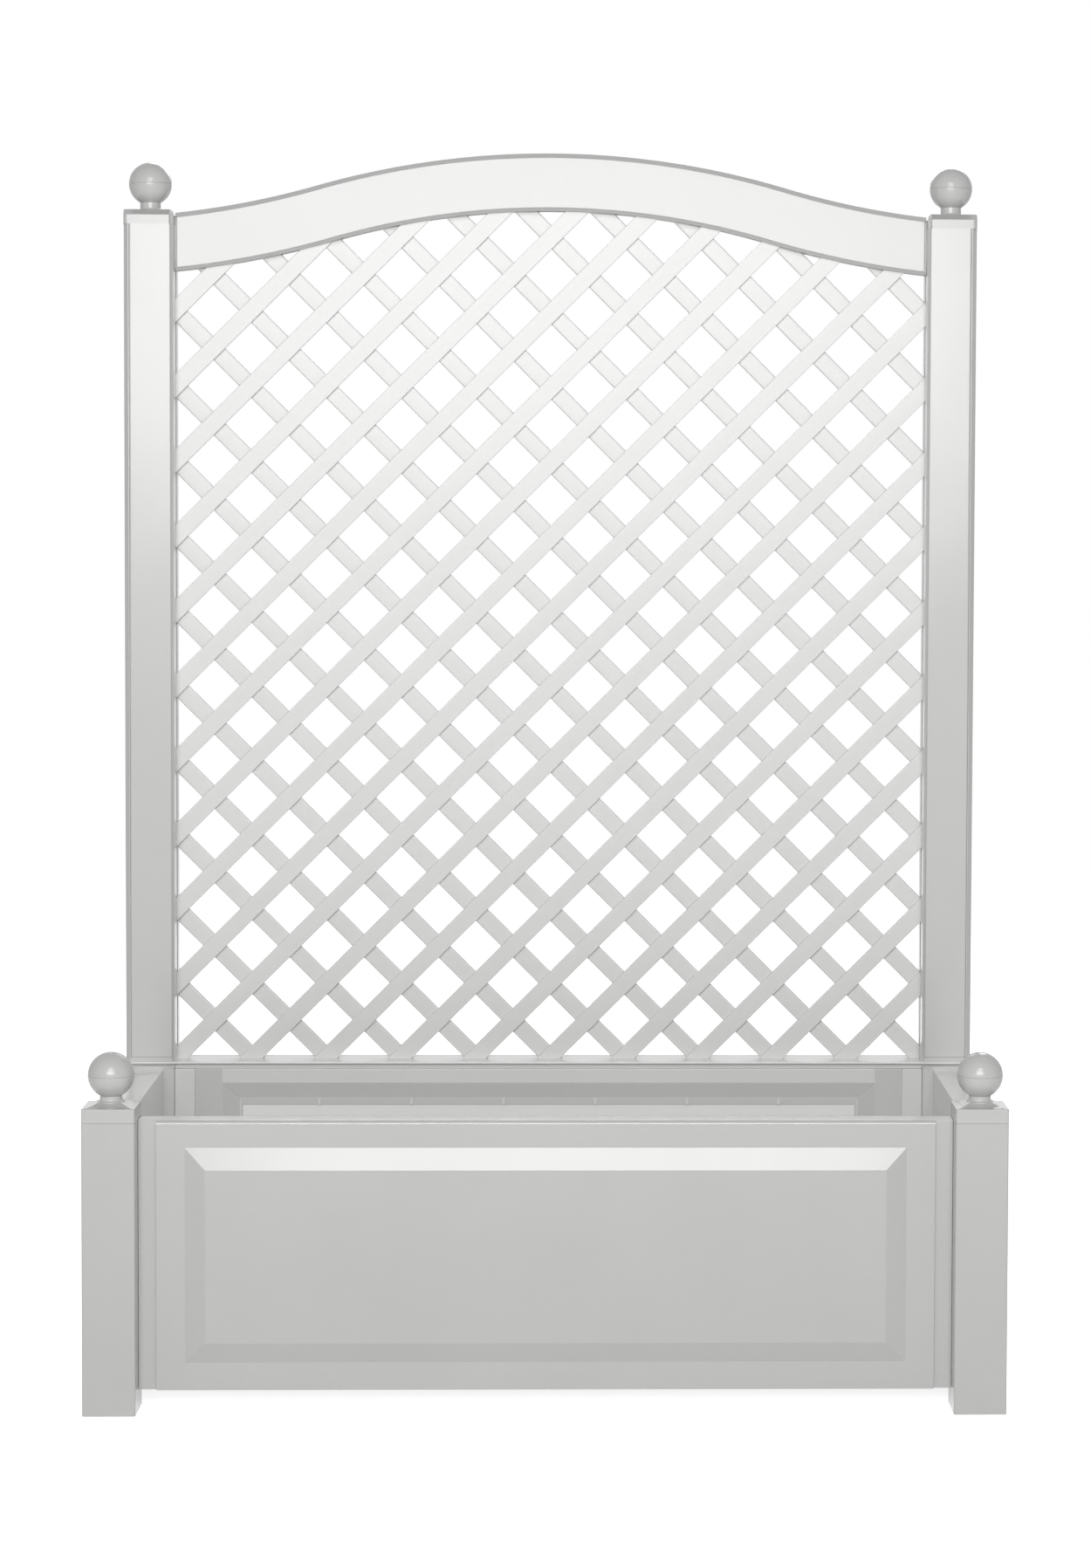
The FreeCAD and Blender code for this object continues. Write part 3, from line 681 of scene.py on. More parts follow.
        def unseen(edge: BMEdge) -> bool:
            """Tell whether an edge is out of sight.

            Args:
                edge: The edge.

            Returns:
                True if it lies behind the front, or where a strip butts against the body.
            """
            ends = [vert.co for vert in edge.verts]
            on_body = all(co.y < face + CLOSE for co in ends)
            on_strip = all(abs(co.y - strip_face) < CLOSE for co in ends)
            butted = all(abs(abs(co.x) - joint) < CLOSE for co in ends)
            return not on_body and (butted or not on_strip)

        rim = shape.edges_at(Axis.X, {Axis.Y: inner, Axis.Z: shoulder})
        shape.soften([*shape.sharp_edges(unseen), *rim], self.edge_round, FINE)
        self.crown(shape, (face + self.rim_round, inner), shoulder)
        shape.turn(wall.turn)
        made = shape.piece(f"{wall.label}_panel", Slot.BOX, self.palette)
        # The top of the rim is painted lighter than the panel: painted light, strongest on the side walls.
        painted_light_or_shade = {Wall.FRONT: Accent.RIM, Wall.REAR: Accent.FRONT_SLATS}.get(wall, Accent.SIDE)
        self.palette.repaint(made, painted_light_or_shade, lambda polygon: polygon.center.z > shoulder - CLOSE)

    def crown(self, shape: Shape, span: Span, shoulder: float) -> None:
        """Swell the rim of a panel in the middle.

        Args:
            shape: The panel.
            span: The outer and inner edge of the swell.
            shoulder: The height of the rim before it swells.
        """
        width = span[1] - span[0]
        top = shape.facing(shape.mesh.faces, Axis.Z, shoulder)
        for cut in range(1, self.rim_cuts + 1):
            top = shape.split(top, Axis.Y, span[0] + width * cut / (self.rim_cuts + 1))
        for vert in {vert for face in top for vert in face.verts}:
            share = 2 * (vert.co.y - span[0]) / width - 1
            vert.co.z += self.rim_crown * max(0.0, 1 - share * share)

    def build_side_liner(self, wall: Wall) -> None:
        """Build a plain inner wall.

        Args:
            wall: The wall that it belongs to.
        """
        low, high = self.wall_frame(wall, "liner")
        behind = high.y - self.lining_recess - self.lining_wall
        shape = Shape()
        shape.bar((-high.x, behind, low.z), (high.x, high.y, high.z + self.wall))
        shape.soften(shape.sharp_edges(), self.edge_round, FINE)
        shape.turn(wall.turn)
        # The whole side liner is painted near white: painted light.
        self.palette.repaint(shape.piece(f"{wall.label}_liner", Slot.INSIDE, self.palette), Accent.SIDE)

    def build_long_liner(self, wall: Wall) -> None:
        """Build an inner wall with strips at its ends and a sunk field with a plate and gussets.

        Args:
            wall: The wall that it belongs to.
        """
        low, high = self.wall_frame(wall, "liner")
        half, strip_face = high.x, high.y
        inner = strip_face - self.lining_step
        sheet_top = high.z + self.wall
        joint = half - self.lining_strip
        behind = inner - self.lining_recess - self.lining_wall
        shape = Shape()
        sheet = shape.bar((-joint, behind, low.z), (joint, inner, sheet_top))
        sunk_half = half - self.lining_side_margin
        sunk_z = (low.z + self.lining_end_margin, high.z - self.lining_end_margin)
        face = shape.facing(sheet, Axis.Y, inner)
        sunk = shape.window(face, {Axis.X: (-sunk_half, sunk_half), Axis.Z: sunk_z})
        flat = shape.slope(sunk, self.lining_slope, -self.lining_recess)
        flat_half = sunk_half - self.lining_slope
        flat_z = (sunk_z[0] + self.lining_slope, sunk_z[1] - self.lining_slope)
        plate_half = flat_half - self.plate_side_gap
        plate_z = (flat_z[0] + self.plate_end_gap, flat_z[1] - self.plate_end_gap)
        plate = shape.window(flat, {Axis.X: (-plate_half, plate_half), Axis.Z: plate_z})
        shape.push(plate, (0, -self.plate_sink, 0))
        for side in Side:
            start = (side.value * joint, behind, low.z)
            shape.bar(start, (side.value * half, strip_face, sheet_top))
        if wall is Wall.REAR:
            lip_back = inner - self.lining_wall
            top = shape.split(shape.facing(shape.mesh.faces, Axis.Z, sheet_top), Axis.Y, lip_back)
            shape.push([face for face in top if face.calc_center_median().y > lip_back], (0, 0, self.lip_rise))

        def in_joint(edge: BMEdge) -> bool:
            """Whether an edge lies where a strip butts against the sheet."""
            ends = [vert.co for vert in edge.verts]
            return all(abs(abs(co.x) - joint) < CLOSE and co.y < strip_face - CLOSE for co in ends)

        shape.soften(shape.sharp_edges(in_joint), self.edge_round, FINE)
        ground = inner - self.lining_recess
        thick = self.gusset_thickness / 2
        for place in self.gusset_places(plate_half):
            for foot, top in ((flat_z[0], plate_z[0]), (plate_z[1], flat_z[1])):
                shape.bar((place - thick, ground, foot), (place + thick, ground + self.gusset_rise, top))
        shape.turn(wall.turn)
        made = shape.piece(f"{wall.label}_liner", Slot.INSIDE, self.palette)

        def lies_at(polygon: bpy.types.MeshPolygon, depth: float) -> bool:
            """Whether a face lies at a depth behind the face of the sheet."""
            return abs(abs(polygon.center.y) - abs(inner) - depth) < CLOSE

        def shaded(polygon: bpy.types.MeshPolygon) -> bool:
            """Whether a face lies beside the plate, or between the field and a strip."""
            return lies_at(polygon, self.lining_recess) or flat_half < abs(polygon.center.x) < joint

        # Beside the plate the liner is painted darker, as painted shade, and the plate itself is painted
        # lighter, as painted light.
        plate_depth = self.lining_recess + self.plate_sink
        self.palette.repaint(made, Accent.SHADE, shaded)
        self.palette.repaint(made, Accent.RIM, lambda polygon: lies_at(polygon, plate_depth))

    def gusset_places(self, plate_half: float) -> list[float]:
        """Work out where the gussets of a plate stand.

        Args:
            plate_half: Half the length of the plate.

        Returns:
            Places on both sides of the middle.
        """
        room = plate_half - self.gusset_thickness - self.gusset_pitch / 2
        count = max(0, math.ceil(room / self.gusset_pitch))
        places = [self.gusset_pitch * (step + 0.5) for step in range(count)]
        return [side.value * place for side in Side for place in places]


@dataclass
class Finials:
    """The four post caps with their balls."""

    palette: Palette  # Where the finishes come from
    spigot: float = 25 * MM  # The length of a cap's plug, which the post hides
    skirt: float = 15.5 * MM  # The height of a cap's upright sides
    skirt_round: float = 2 * MM  # The round of the upright edges of a front cap
    tall_round: float = 5 * MM  # The round of the upright edges of a trellis cap
    top_round: float = 1.5 * MM  # The round of a cap's upper edges
    shoulder: float = 1 * MM  # The flat edge round the roof of a front cap
    rise: float = 5 * MM  # The height of the roof
    roof_steps: int = 6  # How many slopes the hollow roof is made of
    roof_hollow: float = 1.7  # How hollow the roof is, where 1 is straight
    tall_drop: float = 2.8 * MM  # How much lower the block of a trellis cap ends than the roof of a front cap
    bevel_height: float = 7 * MM  # The height of the slope along the front and rear of a trellis cap
    bevel_depth: float = 12 * MM  # The depth of that slope
    step_width: float = 4 * MM  # The width of the step along a trellis cap's inner edge
    step_set: float = 8 * MM  # How far that step lies back
    step_slope: float = 1.6 * MM  # How far it slopes back further towards the lattice
    neck_radius: float = 12 * MM  # The radius of the neck
    neck_flare: float = 2.5 * MM  # How far the neck spreads at its foot
    neck_steps: int = 5  # How many faces that flare is made of
    seam: float = 0.5 * MM  # The chamfer where the halves of a ball meet, and where a front cap meets its leg
    ball_steps: int = 72  # How many faces go round a ball

    def build(self) -> None:
        """Build the caps and both halves of each ball."""
        for place in ("front", "trellis"):
            for side in Side:
                post = f"{place}_{side.label}"
                self.build_cap(post)
                self.build_half_ball(f"ball_lower_{post}", Axis.Z.unit)
                self.build_half_ball(f"ball_upper_{post}", -Axis.Z.unit)

    def build_cap(self, post: str) -> None:
        """Build a cap: a square block with a neck on top.

        Args:
            post: The words in the node's name that say where it is.
        """
        low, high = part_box(f"cap_{post}")
        seat = low.z + self.spigot
        top = seat + self.skirt
        middle = (low + high) / 2
        lid = top + self.rise
        shape = Shape()
        if post.startswith("trellis"):
            lid -= self.tall_drop
            self.add_bevelled_block(shape, (low.x, low.y, seat), (high.x, high.y, lid))
        else:
            self.add_roofed_block(shape, (low.x, low.y, seat), (high.x, high.y, top))
        angles = [math.pi / 2 * step / self.neck_steps for step in range(self.neck_steps + 1)]
        spread, rise = self.neck_radius + self.neck_flare, lid + self.neck_flare
        flare = [
            (spread - self.neck_flare * math.sin(angle), rise - self.neck_flare * math.cos(angle))
            for angle in angles
        ]
        sunk = lid - self.neck_flare / 2
        neck = [(0, sunk), (flare[0][0], sunk), *flare, (self.neck_radius, high.z), (0, high.z)]
        shape.turned(neck, (middle.x, middle.y, 0), self.ball_steps)
        made = shape.piece(f"cap_{post}", Slot.FINIAL, self.palette)

        def slopes_sideways(face: bpy.types.MeshPolygon) -> bool:
            """Whether a face belongs to the left or right slope of the roof."""
            return top < face.center.z < lid and abs(face.normal.y) < abs(face.normal.x) < face.normal.z

        # The side slopes of a front cap's roof are painted near white: painted light.
        if post.startswith("front"):
            self.palette.repaint(made, Accent.SIDE, slopes_sideways)

    def add_roofed_block(self, shape: Shape, low: Point, high: Point) -> None:
        """Add the block of a front cap, with a hollow roof that rises to the neck.

        Args:
            shape: The cap.
            low: The lowest corner of the block.
            high: The highest corner of the block, at the foot of the roof.
        """
        half = (high[0] - low[0]) / 2
        middle = (Vector(low) + Vector(high)) / 2
        shape.bar(low, high)
        lid = shape.facing(shape.mesh.faces, Axis.Z, high[2])
        shape.slope(lid, self.shoulder, 0)
        run = half - self.shoulder - self.neck_radius
        heights = [(step / self.roof_steps) ** self.roof_hollow for step in range(self.roof_steps + 1)]
        for start, stop in zip(heights, heights[1:]):
            shape.slope(lid, run / self.roof_steps, self.rise * (stop - start))
        shape.soften(shape.edges_at(Axis.Z, {}), self.skirt_round, PLAIN)
        rim = shape.level_edges(high[2])
        outer = [e for e in rim if max(abs(v.co.x - middle.x) + abs(v.co.y - middle.y) for v in e.verts) > half]
        shape.soften(outer, min(self.top_round, self.shoulder), PLAIN)
        shape.soften(shape.level_edges(low[2]), self.seam, CHAMFER)

    def add_bevelled_block(self, shape: Shape, low: Point, high: Point) -> None:
        """Add the block of a trellis cap, which slopes back along its front and rear upper edges.

        Args:
            shape: The cap.
            low: The lowest corner of the block.
            high: The highest corner of the block.
        """
        level = high[2] - self.bevel_height
        inner, outer = sorted((low[0], high[0]), key=abs)
        step = inner + math.copysign(self.step_width, inner)
        shape.bar((step, low[1], low[2]), (outer, high[1], high[2]))
        shape.soften(shape.edges_at(Axis.Z, {Axis.X: outer, Axis.Y: low[1]}), self.tall_round, WIDE)
        for edge, way in ((low[1], -1), (high[1], 1)):
            shape.trim((0, edge, level), (0, way * self.bevel_height, self.bevel_depth))
        shape.soften(shape.edges_at(Axis.X, {Axis.Y: low[1], Axis.Z: level}), self.top_round, PLAIN)
        recess = low[1] + self.step_set
        ledge = shape.bar((inner, recess, low[2]), (step, high[1] - self.seam, level))
        outward = (-math.copysign(self.step_slope, inner), -self.step_width, 0)
        shape.trim((inner, recess + self.step_slope, 0), outward, shape.around(ledge))

    def build_half_ball(self, node: str, off: Vector) -> None:
        """Build one half of a ball with a chamfer at the seam.

        Args:
            node: The node that it stands for.
            off: The direction of the half that is cut away.
        """
        low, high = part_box(node)
        radius = (high.x - low.x) / 2
        centre = (low + high) / 2
        centre.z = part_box(node.replace("upper", "lower"))[1].z
        shape = Shape()
        bmesh.ops.create_uvsphere(
            shape.mesh, u_segments=self.ball_steps, v_segments=self.ball_steps // 2, radius=radius,
            matrix=Matrix.Translation(centre),
        )
        shape.trim(centre, off)
        shape.soften(shape.level_edges(centre.z), self.seam, CHAMFER)
        shape.piece(node, Slot.FINIAL, self.palette)


@dataclass
class OgeeArch:
    """The top edge of the trellis: one radius up, over and down again on each side of the middle."""

    crest: float  # The height of the top edge in the middle
    radius: float = 990 * MM  # The radius of every arc
    turn_x: float = 276 * MM  # How far from the middle the curve turns from hollow to round

    @property
    def turn(self) -> float:
        """The angle of each arc from the middle to its turning point."""
        return math.asin(self.turn_x / self.radius)

    @property
    def middle(self) -> Vector:
        """The centre of the round arc."""
        return Vector((0, 0, self.crest - self.radius))

    @property
    def beyond(self) -> Vector:
        """The centre of the hollow arc on the right."""
        reach = 2 * self.radius
        return self.middle + reach * Vector((math.sin(self.turn), 0, math.cos(self.turn)))

    def height(self, x: float, offset: float) -> float:
        """Find the height of a curve that runs under the top edge at a steady distance.

        Args:
            x: The distance from the middle.
            offset: How far under the top edge the curve runs, square to it.

        Returns:
            The height of the curve.
        """
        x = abs(x)
        if x < (self.radius - offset) * math.sin(self.turn):
            return self.middle.z + math.sqrt((self.radius - offset) ** 2 - x * x)
        return self.beyond.z - math.sqrt((self.radius + offset) ** 2 - (self.beyond.x - x) ** 2)

    def outward(self, x: float, offset: float) -> Vector:
        """Find the upward direction square to such a curve.

        Args:
            x: The distance from the middle, to the left if negative.
            offset: How far under the top edge the curve runs.

        Returns:
            A unit vector.
        """
        step = 1 * MM
        run = self.height(x + step, offset) - self.height(x - step, offset)
        return Vector((-run, 0, 2 * step)).normalized()

    def sweep(self, shape: Shape, outline: Sequence[Span], half_span: float, steps: int) -> None:
        """Sweep a section along the arch and cut it off at both posts.

        Args:
            shape: The mesh that gets it.
            outline: Distance under the top edge and depth of each corner of the section.
            half_span: From the middle to where it is cut off.
            steps: How many faces each arc has.
        """
        corners = [shape.mesh.verts.new((0, depth, self.crest - offset)) for offset, depth in outline]
        start = shape.mesh.faces.new(corners)
        widest = max(offset for offset, _ in outline)
        spare = math.radians(1)
        rest = self.turn - math.asin((self.beyond.x - half_span) / (self.radius + widest)) + spare
        items = [start, *start.edges, *start.verts]
        for centre, angle in ((self.middle, self.turn), (self.beyond, -rest)):
            items = bmesh.ops.spin(
                shape.mesh, geom=items, cent=centre, axis=Axis.Y.unit, angle=angle, steps=steps,
            )["geom_last"]
        shape.trim((half_span, 0, 0), Axis.X.unit)
        seam = shape.facing(shape.mesh.faces, Axis.X, 0)
        bmesh.ops.delete(shape.mesh, geom=seam, context="FACES_ONLY")
        bmesh.ops.mirror(shape.mesh, geom=shape.around(shape.mesh.faces), merge_dist=CLOSE, axis="X")
        bmesh.ops.recalc_face_normals(shape.mesh, faces=shape.mesh.faces)


@dataclass
class Trellis:
    """The trellis: a base rail, two posts with covers, an arched rail with its cover, and the lattice."""

    palette: Palette  # Where the finishes come from
    fit_gap: float = 0.3 * MM  # The gap between pieces that plug together
    rail_round: float = 0.35 * MM  # The small round of the arched rail's long edges
    base_rise: float = 6 * MM  # The height of the collars of the base rail under the posts' covers
    base_plate: float = 1.8 * MM  # The thickness of the base rail's plate
    base_round: float = 0.8 * MM  # The round of that plate's upper front edge
    base_step: float = 9 * MM  # How far the foot of the base rail lies back
    sole: float = 3.5 * MM  # The height of the soles in front of that foot, on top of the legs
    sole_depth: float = 6 * MM  # The depth of those soles
    cover_stand: float = 8 * MM  # How far a post's cover stands out from the post
    cover_reach: float = 1.5 * MM  # How much wider a post's cover is drawn towards the lattice
    cover_edge_round: float = 2.4 * MM  # The round of a post cover's outer edge
    post_round: float = 1.5 * MM  # The round of a post's rear edges and of a cover's inner edge
    cover_round: float = 1 * MM  # The round of the arch cover's edges
    cover_gap: float = 2.4 * MM  # From the arch cover to the posts
    inner_lip: float = 5 * MM  # How far a post's inner edge stands up beside the cover
    inner_bevel_width: float = 2.5 * MM  # The width of the slope along that edge
    inner_bevel_depth: float = 3 * MM  # The depth of that slope
    lip_bevel_width: float = 5.5 * MM  # The width of the slope along a post's outer edge
    lip_bevel_depth: float = 6.5 * MM  # The depth of that slope
    groove: float = 6.5 * MM  # How deep the lattice goes into a post
    groove_top: float = 58 * MM  # How far under the arch the groove of a post ends
    rail_height: float = 68 * MM  # The height of the arched rail, square to its edge
    rail_wall: float = 3 * MM  # The thickness of the arched rail's walls
    rail_lip_set: float = 1 * MM  # How far the slopes round the cover start behind its face
    rail_cover_stand: float = 6 * MM  # How far the cover stands out
    brow_height: float = 5.7 * MM  # The height of the slope along the rail's top edge
    brow_depth: float = 9 * MM  # The depth of that slope
    hem: float = 3.2 * MM  # The size of the slope along the rail's bottom edge
    rail_groove: float = 8 * MM  # How deep the lattice goes into the arched rail
    rail_roof: float = 4 * MM  # The thickness of the wall over that groove
    rail_rib: float = 2.5 * MM  # The thickness of the ribs at the back
    arch_steps: int = 28  # How many faces each arc has
    bays: int = 10  # How many bays of the lattice fit between the posts
    slat_width: float = 20 * MM  # The width of a slat
    slat_thickness: float = 5 * MM  # The thickness of a slat
    slat_round: float = 0.8 * MM  # The round of a front slat's edges
    rear_slat_round: float = 1.8 * MM  # The round of a rear slat's edges
    sink: float = 4.8 * MM  # How far the crossings at the bottom lie under the top of the base rail
    arch: OgeeArch = field(init=False)  # The curve of the top edge

    def __post_init__(self) -> None:
        """Take the main places from the frame."""
        self.arch = OgeeArch(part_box("arch_rail")[1].z)
        post_low, post_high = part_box("trellis_post_right")
        self.span_half = post_low.x
        self.outer = post_high.x
        self.rear = post_high.y
        self.plate_top = post_low.z
        self.base_top = post_low.z + self.base_rise
        self.post_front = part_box("post_cover_right")[0].y
        self.leg_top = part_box("leg_rear_right")[1].z
        self.rail_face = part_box("arch_cover")[0].y
        self.rail_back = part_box("arch_rail")[1].y
        self.lattice_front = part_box("lattice")[0].y
        self.lattice_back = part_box("lattice")[1].y

    def build(self) -> None:
        """Build every piece of the trellis."""
        self.build_base_rail()
        for side in Side:
            self.build_post(side)
            self.build_post_cover(side)
        self.build_arch_rail()
        self.build_arch_cover()
        self.build_lattice()

    def build_base_rail(self) -> None:
        """Build the base rail: a plate over a foot that lies back, with a collar under each post's cover."""
        shape = Shape()
        plate_z = self.plate_top - self.base_plate
        shape.bar((-self.outer, self.post_front, plate_z), (self.outer, self.rear, self.plate_top))
        brow = shape.edges_at(Axis.X, {Axis.Y: self.post_front, Axis.Z: self.plate_top})
        shape.soften(brow, self.base_round, PLAIN)
        front = self.post_front + self.base_step
        shape.bar((-self.outer, front, self.leg_top), (self.outer, self.rear, plate_z))
        for side in Side:
            inner, outer = self.cover_edges(side)
            back = self.post_front + self.cover_stand
            shape.bar((inner, self.post_front, self.plate_top), (outer, back, self.base_top))
            heel = self.post_front + self.sole_depth
            runs = ((self.post_front, heel, self.leg_top + self.sole), (heel, front, plate_z))
            for start, stop, height in runs:
                corner = (side.value * self.span_half, start, self.leg_top)
                shape.bar(corner, (side.value * self.outer, stop, height))
        made = shape.piece("trellis_base_rail", Slot.TRELLIS, self.palette)
        # The middle of the base rail is painted lighter: painted light.
        self.palette.repaint(made, Accent.RIM, lambda face: abs(face.center.x) < self.span_half)

    def build_post(self, side: Side) -> None:
        """Build a post with a lip along its outer edge and a groove for the lattice.

        Args:
            side: Which post.
        """
        node = f"trellis_post_{side.label}"
        low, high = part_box(node)
        inner_x = side.value * self.span_half
        outer_x = side.value * self.outer
        front = self.post_front + self.cover_stand
        shape = Shape()
        shape.bar((inner_x, front, low.z), (outer_x, self.rear, high.z))
        shape.soften(shape.edges_at(Axis.Z, {Axis.Y: self.rear}), self.post_round, PLAIN)
        cover_inner, cover_outer = self.cover_edges(side)
        lips = (
            (1, outer_x, cover_outer, low.y, self.lip_bevel_width, self.lip_bevel_depth),
            (-1, inner_x, cover_inner, front - self.inner_lip, self.inner_bevel_width, self.inner_bevel_depth),
        )
        for way, edge, cover_edge, lip_y, width, depth in lips:
            face = shape.facing(shape.mesh.faces, Axis.Y, front)
            shape.push(shape.window(face, {Axis.X: (cover_edge, edge)}), (0, lip_y - front, 0))
            shape.trim((edge, lip_y + depth, 0), (way * side.value * depth, -width, 0))
        cheek = shape.facing(shape.mesh.faces, Axis.X, inner_x)
        across = (self.lattice_front - self.fit_gap, self.lattice_back + self.fit_gap)
        groove_z = (low.z, self.arch.height(self.span_half, self.groove_top))
        groove = shape.window(cheek, {Axis.Y: across, Axis.Z: groove_z})
        shape.push(groove, (side.value * self.groove, 0, 0))
        made = shape.piece(node, Slot.TRELLIS, self.palette)
        # A post's inner side is painted lighter: painted light.
        self.palette.repaint(made, Accent.RIM, lambda face: abs(face.center.x) < self.span_half + CLOSE)

    def cover_edges(self, side: Side) -> Span:
        """Find the places of the inner and outer upright edge of a post's cover."""
        inner, outer = sorted((corner.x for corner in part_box(f"post_cover_{side.label}")), key=abs)
        return inner - side.value * self.cover_reach, outer

    def build_post_cover(self, side: Side) -> None:
        """Build the cover that forms the front of a post.

        Args:
            side: Which post.
        """
        node = f"post_cover_{side.label}"
        low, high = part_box(node)
        inner, outer = self.cover_edges(side)
        shape = Shape()
        shape.bar((inner, low.y, self.base_top + self.fit_gap), (outer, high.y, high.z))
        for place, radius in ((inner, self.post_round), (outer, self.cover_edge_round)):
            shape.soften(shape.edges_at(Axis.Z, {Axis.X: place, Axis.Y: low.y}), radius, PLAIN)
        shape.piece(node, Slot.TRELLIS, self.palette)

    def build_arch_rail(self) -> None:
        """Build the arched rail: lips in front, a groove below, and ribs in the open back."""
        body_front = self.rail_face + self.rail_cover_stand
        lip_front = self.rail_face + self.rail_lip_set
        web_back = body_front + self.rail_wall
        bottom = self.rail_height
        cavity = bottom - self.rail_groove - self.rail_roof
        groove_y = (self.lattice_front - self.fit_gap, self.lattice_back + self.fit_gap)
        lower_edge = bottom - self.hem
        outline = [
            (0, self.rail_back), (0, lip_front + self.brow_depth), (self.brow_height, lip_front),
            (self.brow_height, body_front), (lower_edge, body_front), (lower_edge, lip_front),
            (bottom, lip_front + self.hem), (bottom, groove_y[0]), (bottom - self.rail_groove, groove_y[0]),
            (bottom - self.rail_groove, groove_y[1]), (bottom, groove_y[1]), (bottom, self.rail_back),
            (cavity, self.rail_back), (cavity, web_back), (self.rail_wall, web_back),
            (self.rail_wall, self.rail_back),
        ]
        half_span = self.span_half - self.fit_gap
        shape = Shape()
        self.arch.sweep(shape, outline, half_span, self.arch_steps)
        long_edges = shape.sharp_edges(lambda edge: abs(edge.verts[0].co.x - edge.verts[1].co.x) < CLOSE)
        shape.soften(long_edges, self.rail_round, FINE)
        bay = 2 * self.span_half / self.bays
        for count in range(1, self.bays):
            x = -self.span_half + bay * count
            top = self.arch.height(x, self.rail_wall / 2)
            foot = self.arch.height(x, cavity + self.rail_wall / 2)
            half = self.rail_rib / 2
            shape.bar((x - half, web_back - half, foot), (x + half, self.rail_back, top))
        shape.piece("arch_rail", Slot.TRELLIS, self.palette)

    def build_arch_cover(self) -> None:
        """Build the cover that forms the front of the arched rail."""
        top = self.brow_height
        bottom = self.rail_height - self.hem
        back = self.rail_face + self.rail_cover_stand
        outline = [(top, back), (top, self.rail_face), (bottom, self.rail_face), (bottom, back)]
        shape = Shape()
        self.arch.sweep(shape, outline, self.span_half - self.cover_gap, self.arch_steps)

        def hidden(edge: BMEdge) -> bool:
            """Whether an edge lies at the back."""
            return any(vert.co.y > self.rail_face + CLOSE for vert in edge.verts)

        shape.soften(shape.sharp_edges(hidden), self.cover_round, PLAIN)
        # The arch cover is painted darker than the rest of the trellis: painted shade.
        self.palette.repaint(shape.piece("arch_cover", Slot.TRELLIS, self.palette), Accent.ARCH)

    def build_lattice(self) -> None:
        """Build both layers of slats."""
        shape = Shape()
        pitch = 2 * self.span_half / self.bays
        middle_y = self.lattice_front + self.slat_thickness / 2
        rows = math.ceil((self.arch.crest + self.span_half) / pitch)
        for lean, depth in ((1, middle_y), (-1, middle_y + self.slat_thickness)):
            for step in range(-self.bays, rows):
                self.add_slat(shape, lean, depth, self.base_top - self.sink + step * pitch)
        made = shape.piece("lattice", Slot.TRELLIS, self.palette)
        seam = self.lattice_front + self.slat_thickness
        # The lattice is painted lighter than the posts: painted light, a little more on the rear slats.
        self.palette.repaint(made, Accent.FRONT_SLATS)
        self.palette.repaint(made, Accent.REAR_SLATS, lambda face: face.center.y > seam)

    def add_slat(self, shape: Shape, lean: int, depth: float, middle_z: float) -> None:
        """Add one slat at 45 degrees, cut off where it enters the frame round it.

        Args:
            shape: The lattice.
            lean: 1 for a slat that rises to the right, -1 for one that rises to the left.
            depth: The depth of the slat's middle.
            middle_z: The height at which the slat crosses the middle of the trellis.
        """
        half = self.span_half + self.groove - self.fit_gap
        offset = self.rail_height - self.rail_groove + self.fit_gap
        start = max(-half, self.plate_top - middle_z)
        stop = self.slat_top(half, start, middle_z, offset)
        if stop - start < self.slat_width / 2:
            return
        reach = self.slat_width
        along = Vector((lean, 0, 1)) / math.sqrt(2)
        length = (stop - start) * math.sqrt(2) + 2 * reach
        middle = Vector((lean * (start + stop) / 2, depth, middle_z + (start + stop) / 2))
        size = Matrix.Diagonal((length, self.slat_thickness, self.slat_width, 1))
        turn = Matrix((along, Axis.Y.unit, along.cross(Axis.Y.unit))).transposed().to_4x4()
        slat = shape.block(Matrix.Translation(middle) @ turn @ size)
        edges = dict.fromkeys(edge for face in slat for edge in face.edges)
        long_edges = [edge for edge in edges if edge.calc_length() > self.slat_width + CLOSE]
        rounds = shape.soften(long_edges, self.slat_round if lean > 0 else self.rear_slat_round, SLIM)
        touching = (other for face in rounds for vert in face.verts for other in vert.link_faces)
        items = shape.around(dict.fromkeys(touching))
        top = Vector((lean * stop, 0, self.arch.height(stop, offset)))
        cuts = [
            ((0, 0, self.plate_top), -Axis.Z.unit),
            ((half, 0, 0), Axis.X.unit),
            ((-half, 0, 0), -Axis.X.unit),
            (top, self.arch.outward(top.x, offset)),
        ]
        for point, outward in cuts:
            items = shape.trim(point, outward, items)

    def slat_top(self, half: float, start: float, middle_z: float, offset: float) -> float:
        """Find where a slat that rises to the right leaves the window.

        Args:
            half: Half the width of the window.
            start: Where the slat starts.
            middle_z: The height at which it crosses the middle.
            offset: How far under the top edge of the arch the window ends.

        Returns:
            The distance from the middle, to the left if negative.
        """
        inside, outside = start, half
        if middle_z + half < self.arch.height(half, offset):
            return half
        if middle_z + start > self.arch.height(start, offset):
            return start
        while outside - inside > CLOSE:
            probe = (inside + outside) / 2
            if middle_z + probe < self.arch.height(probe, offset):
                inside = probe
            else:
                outside = probe
        return inside


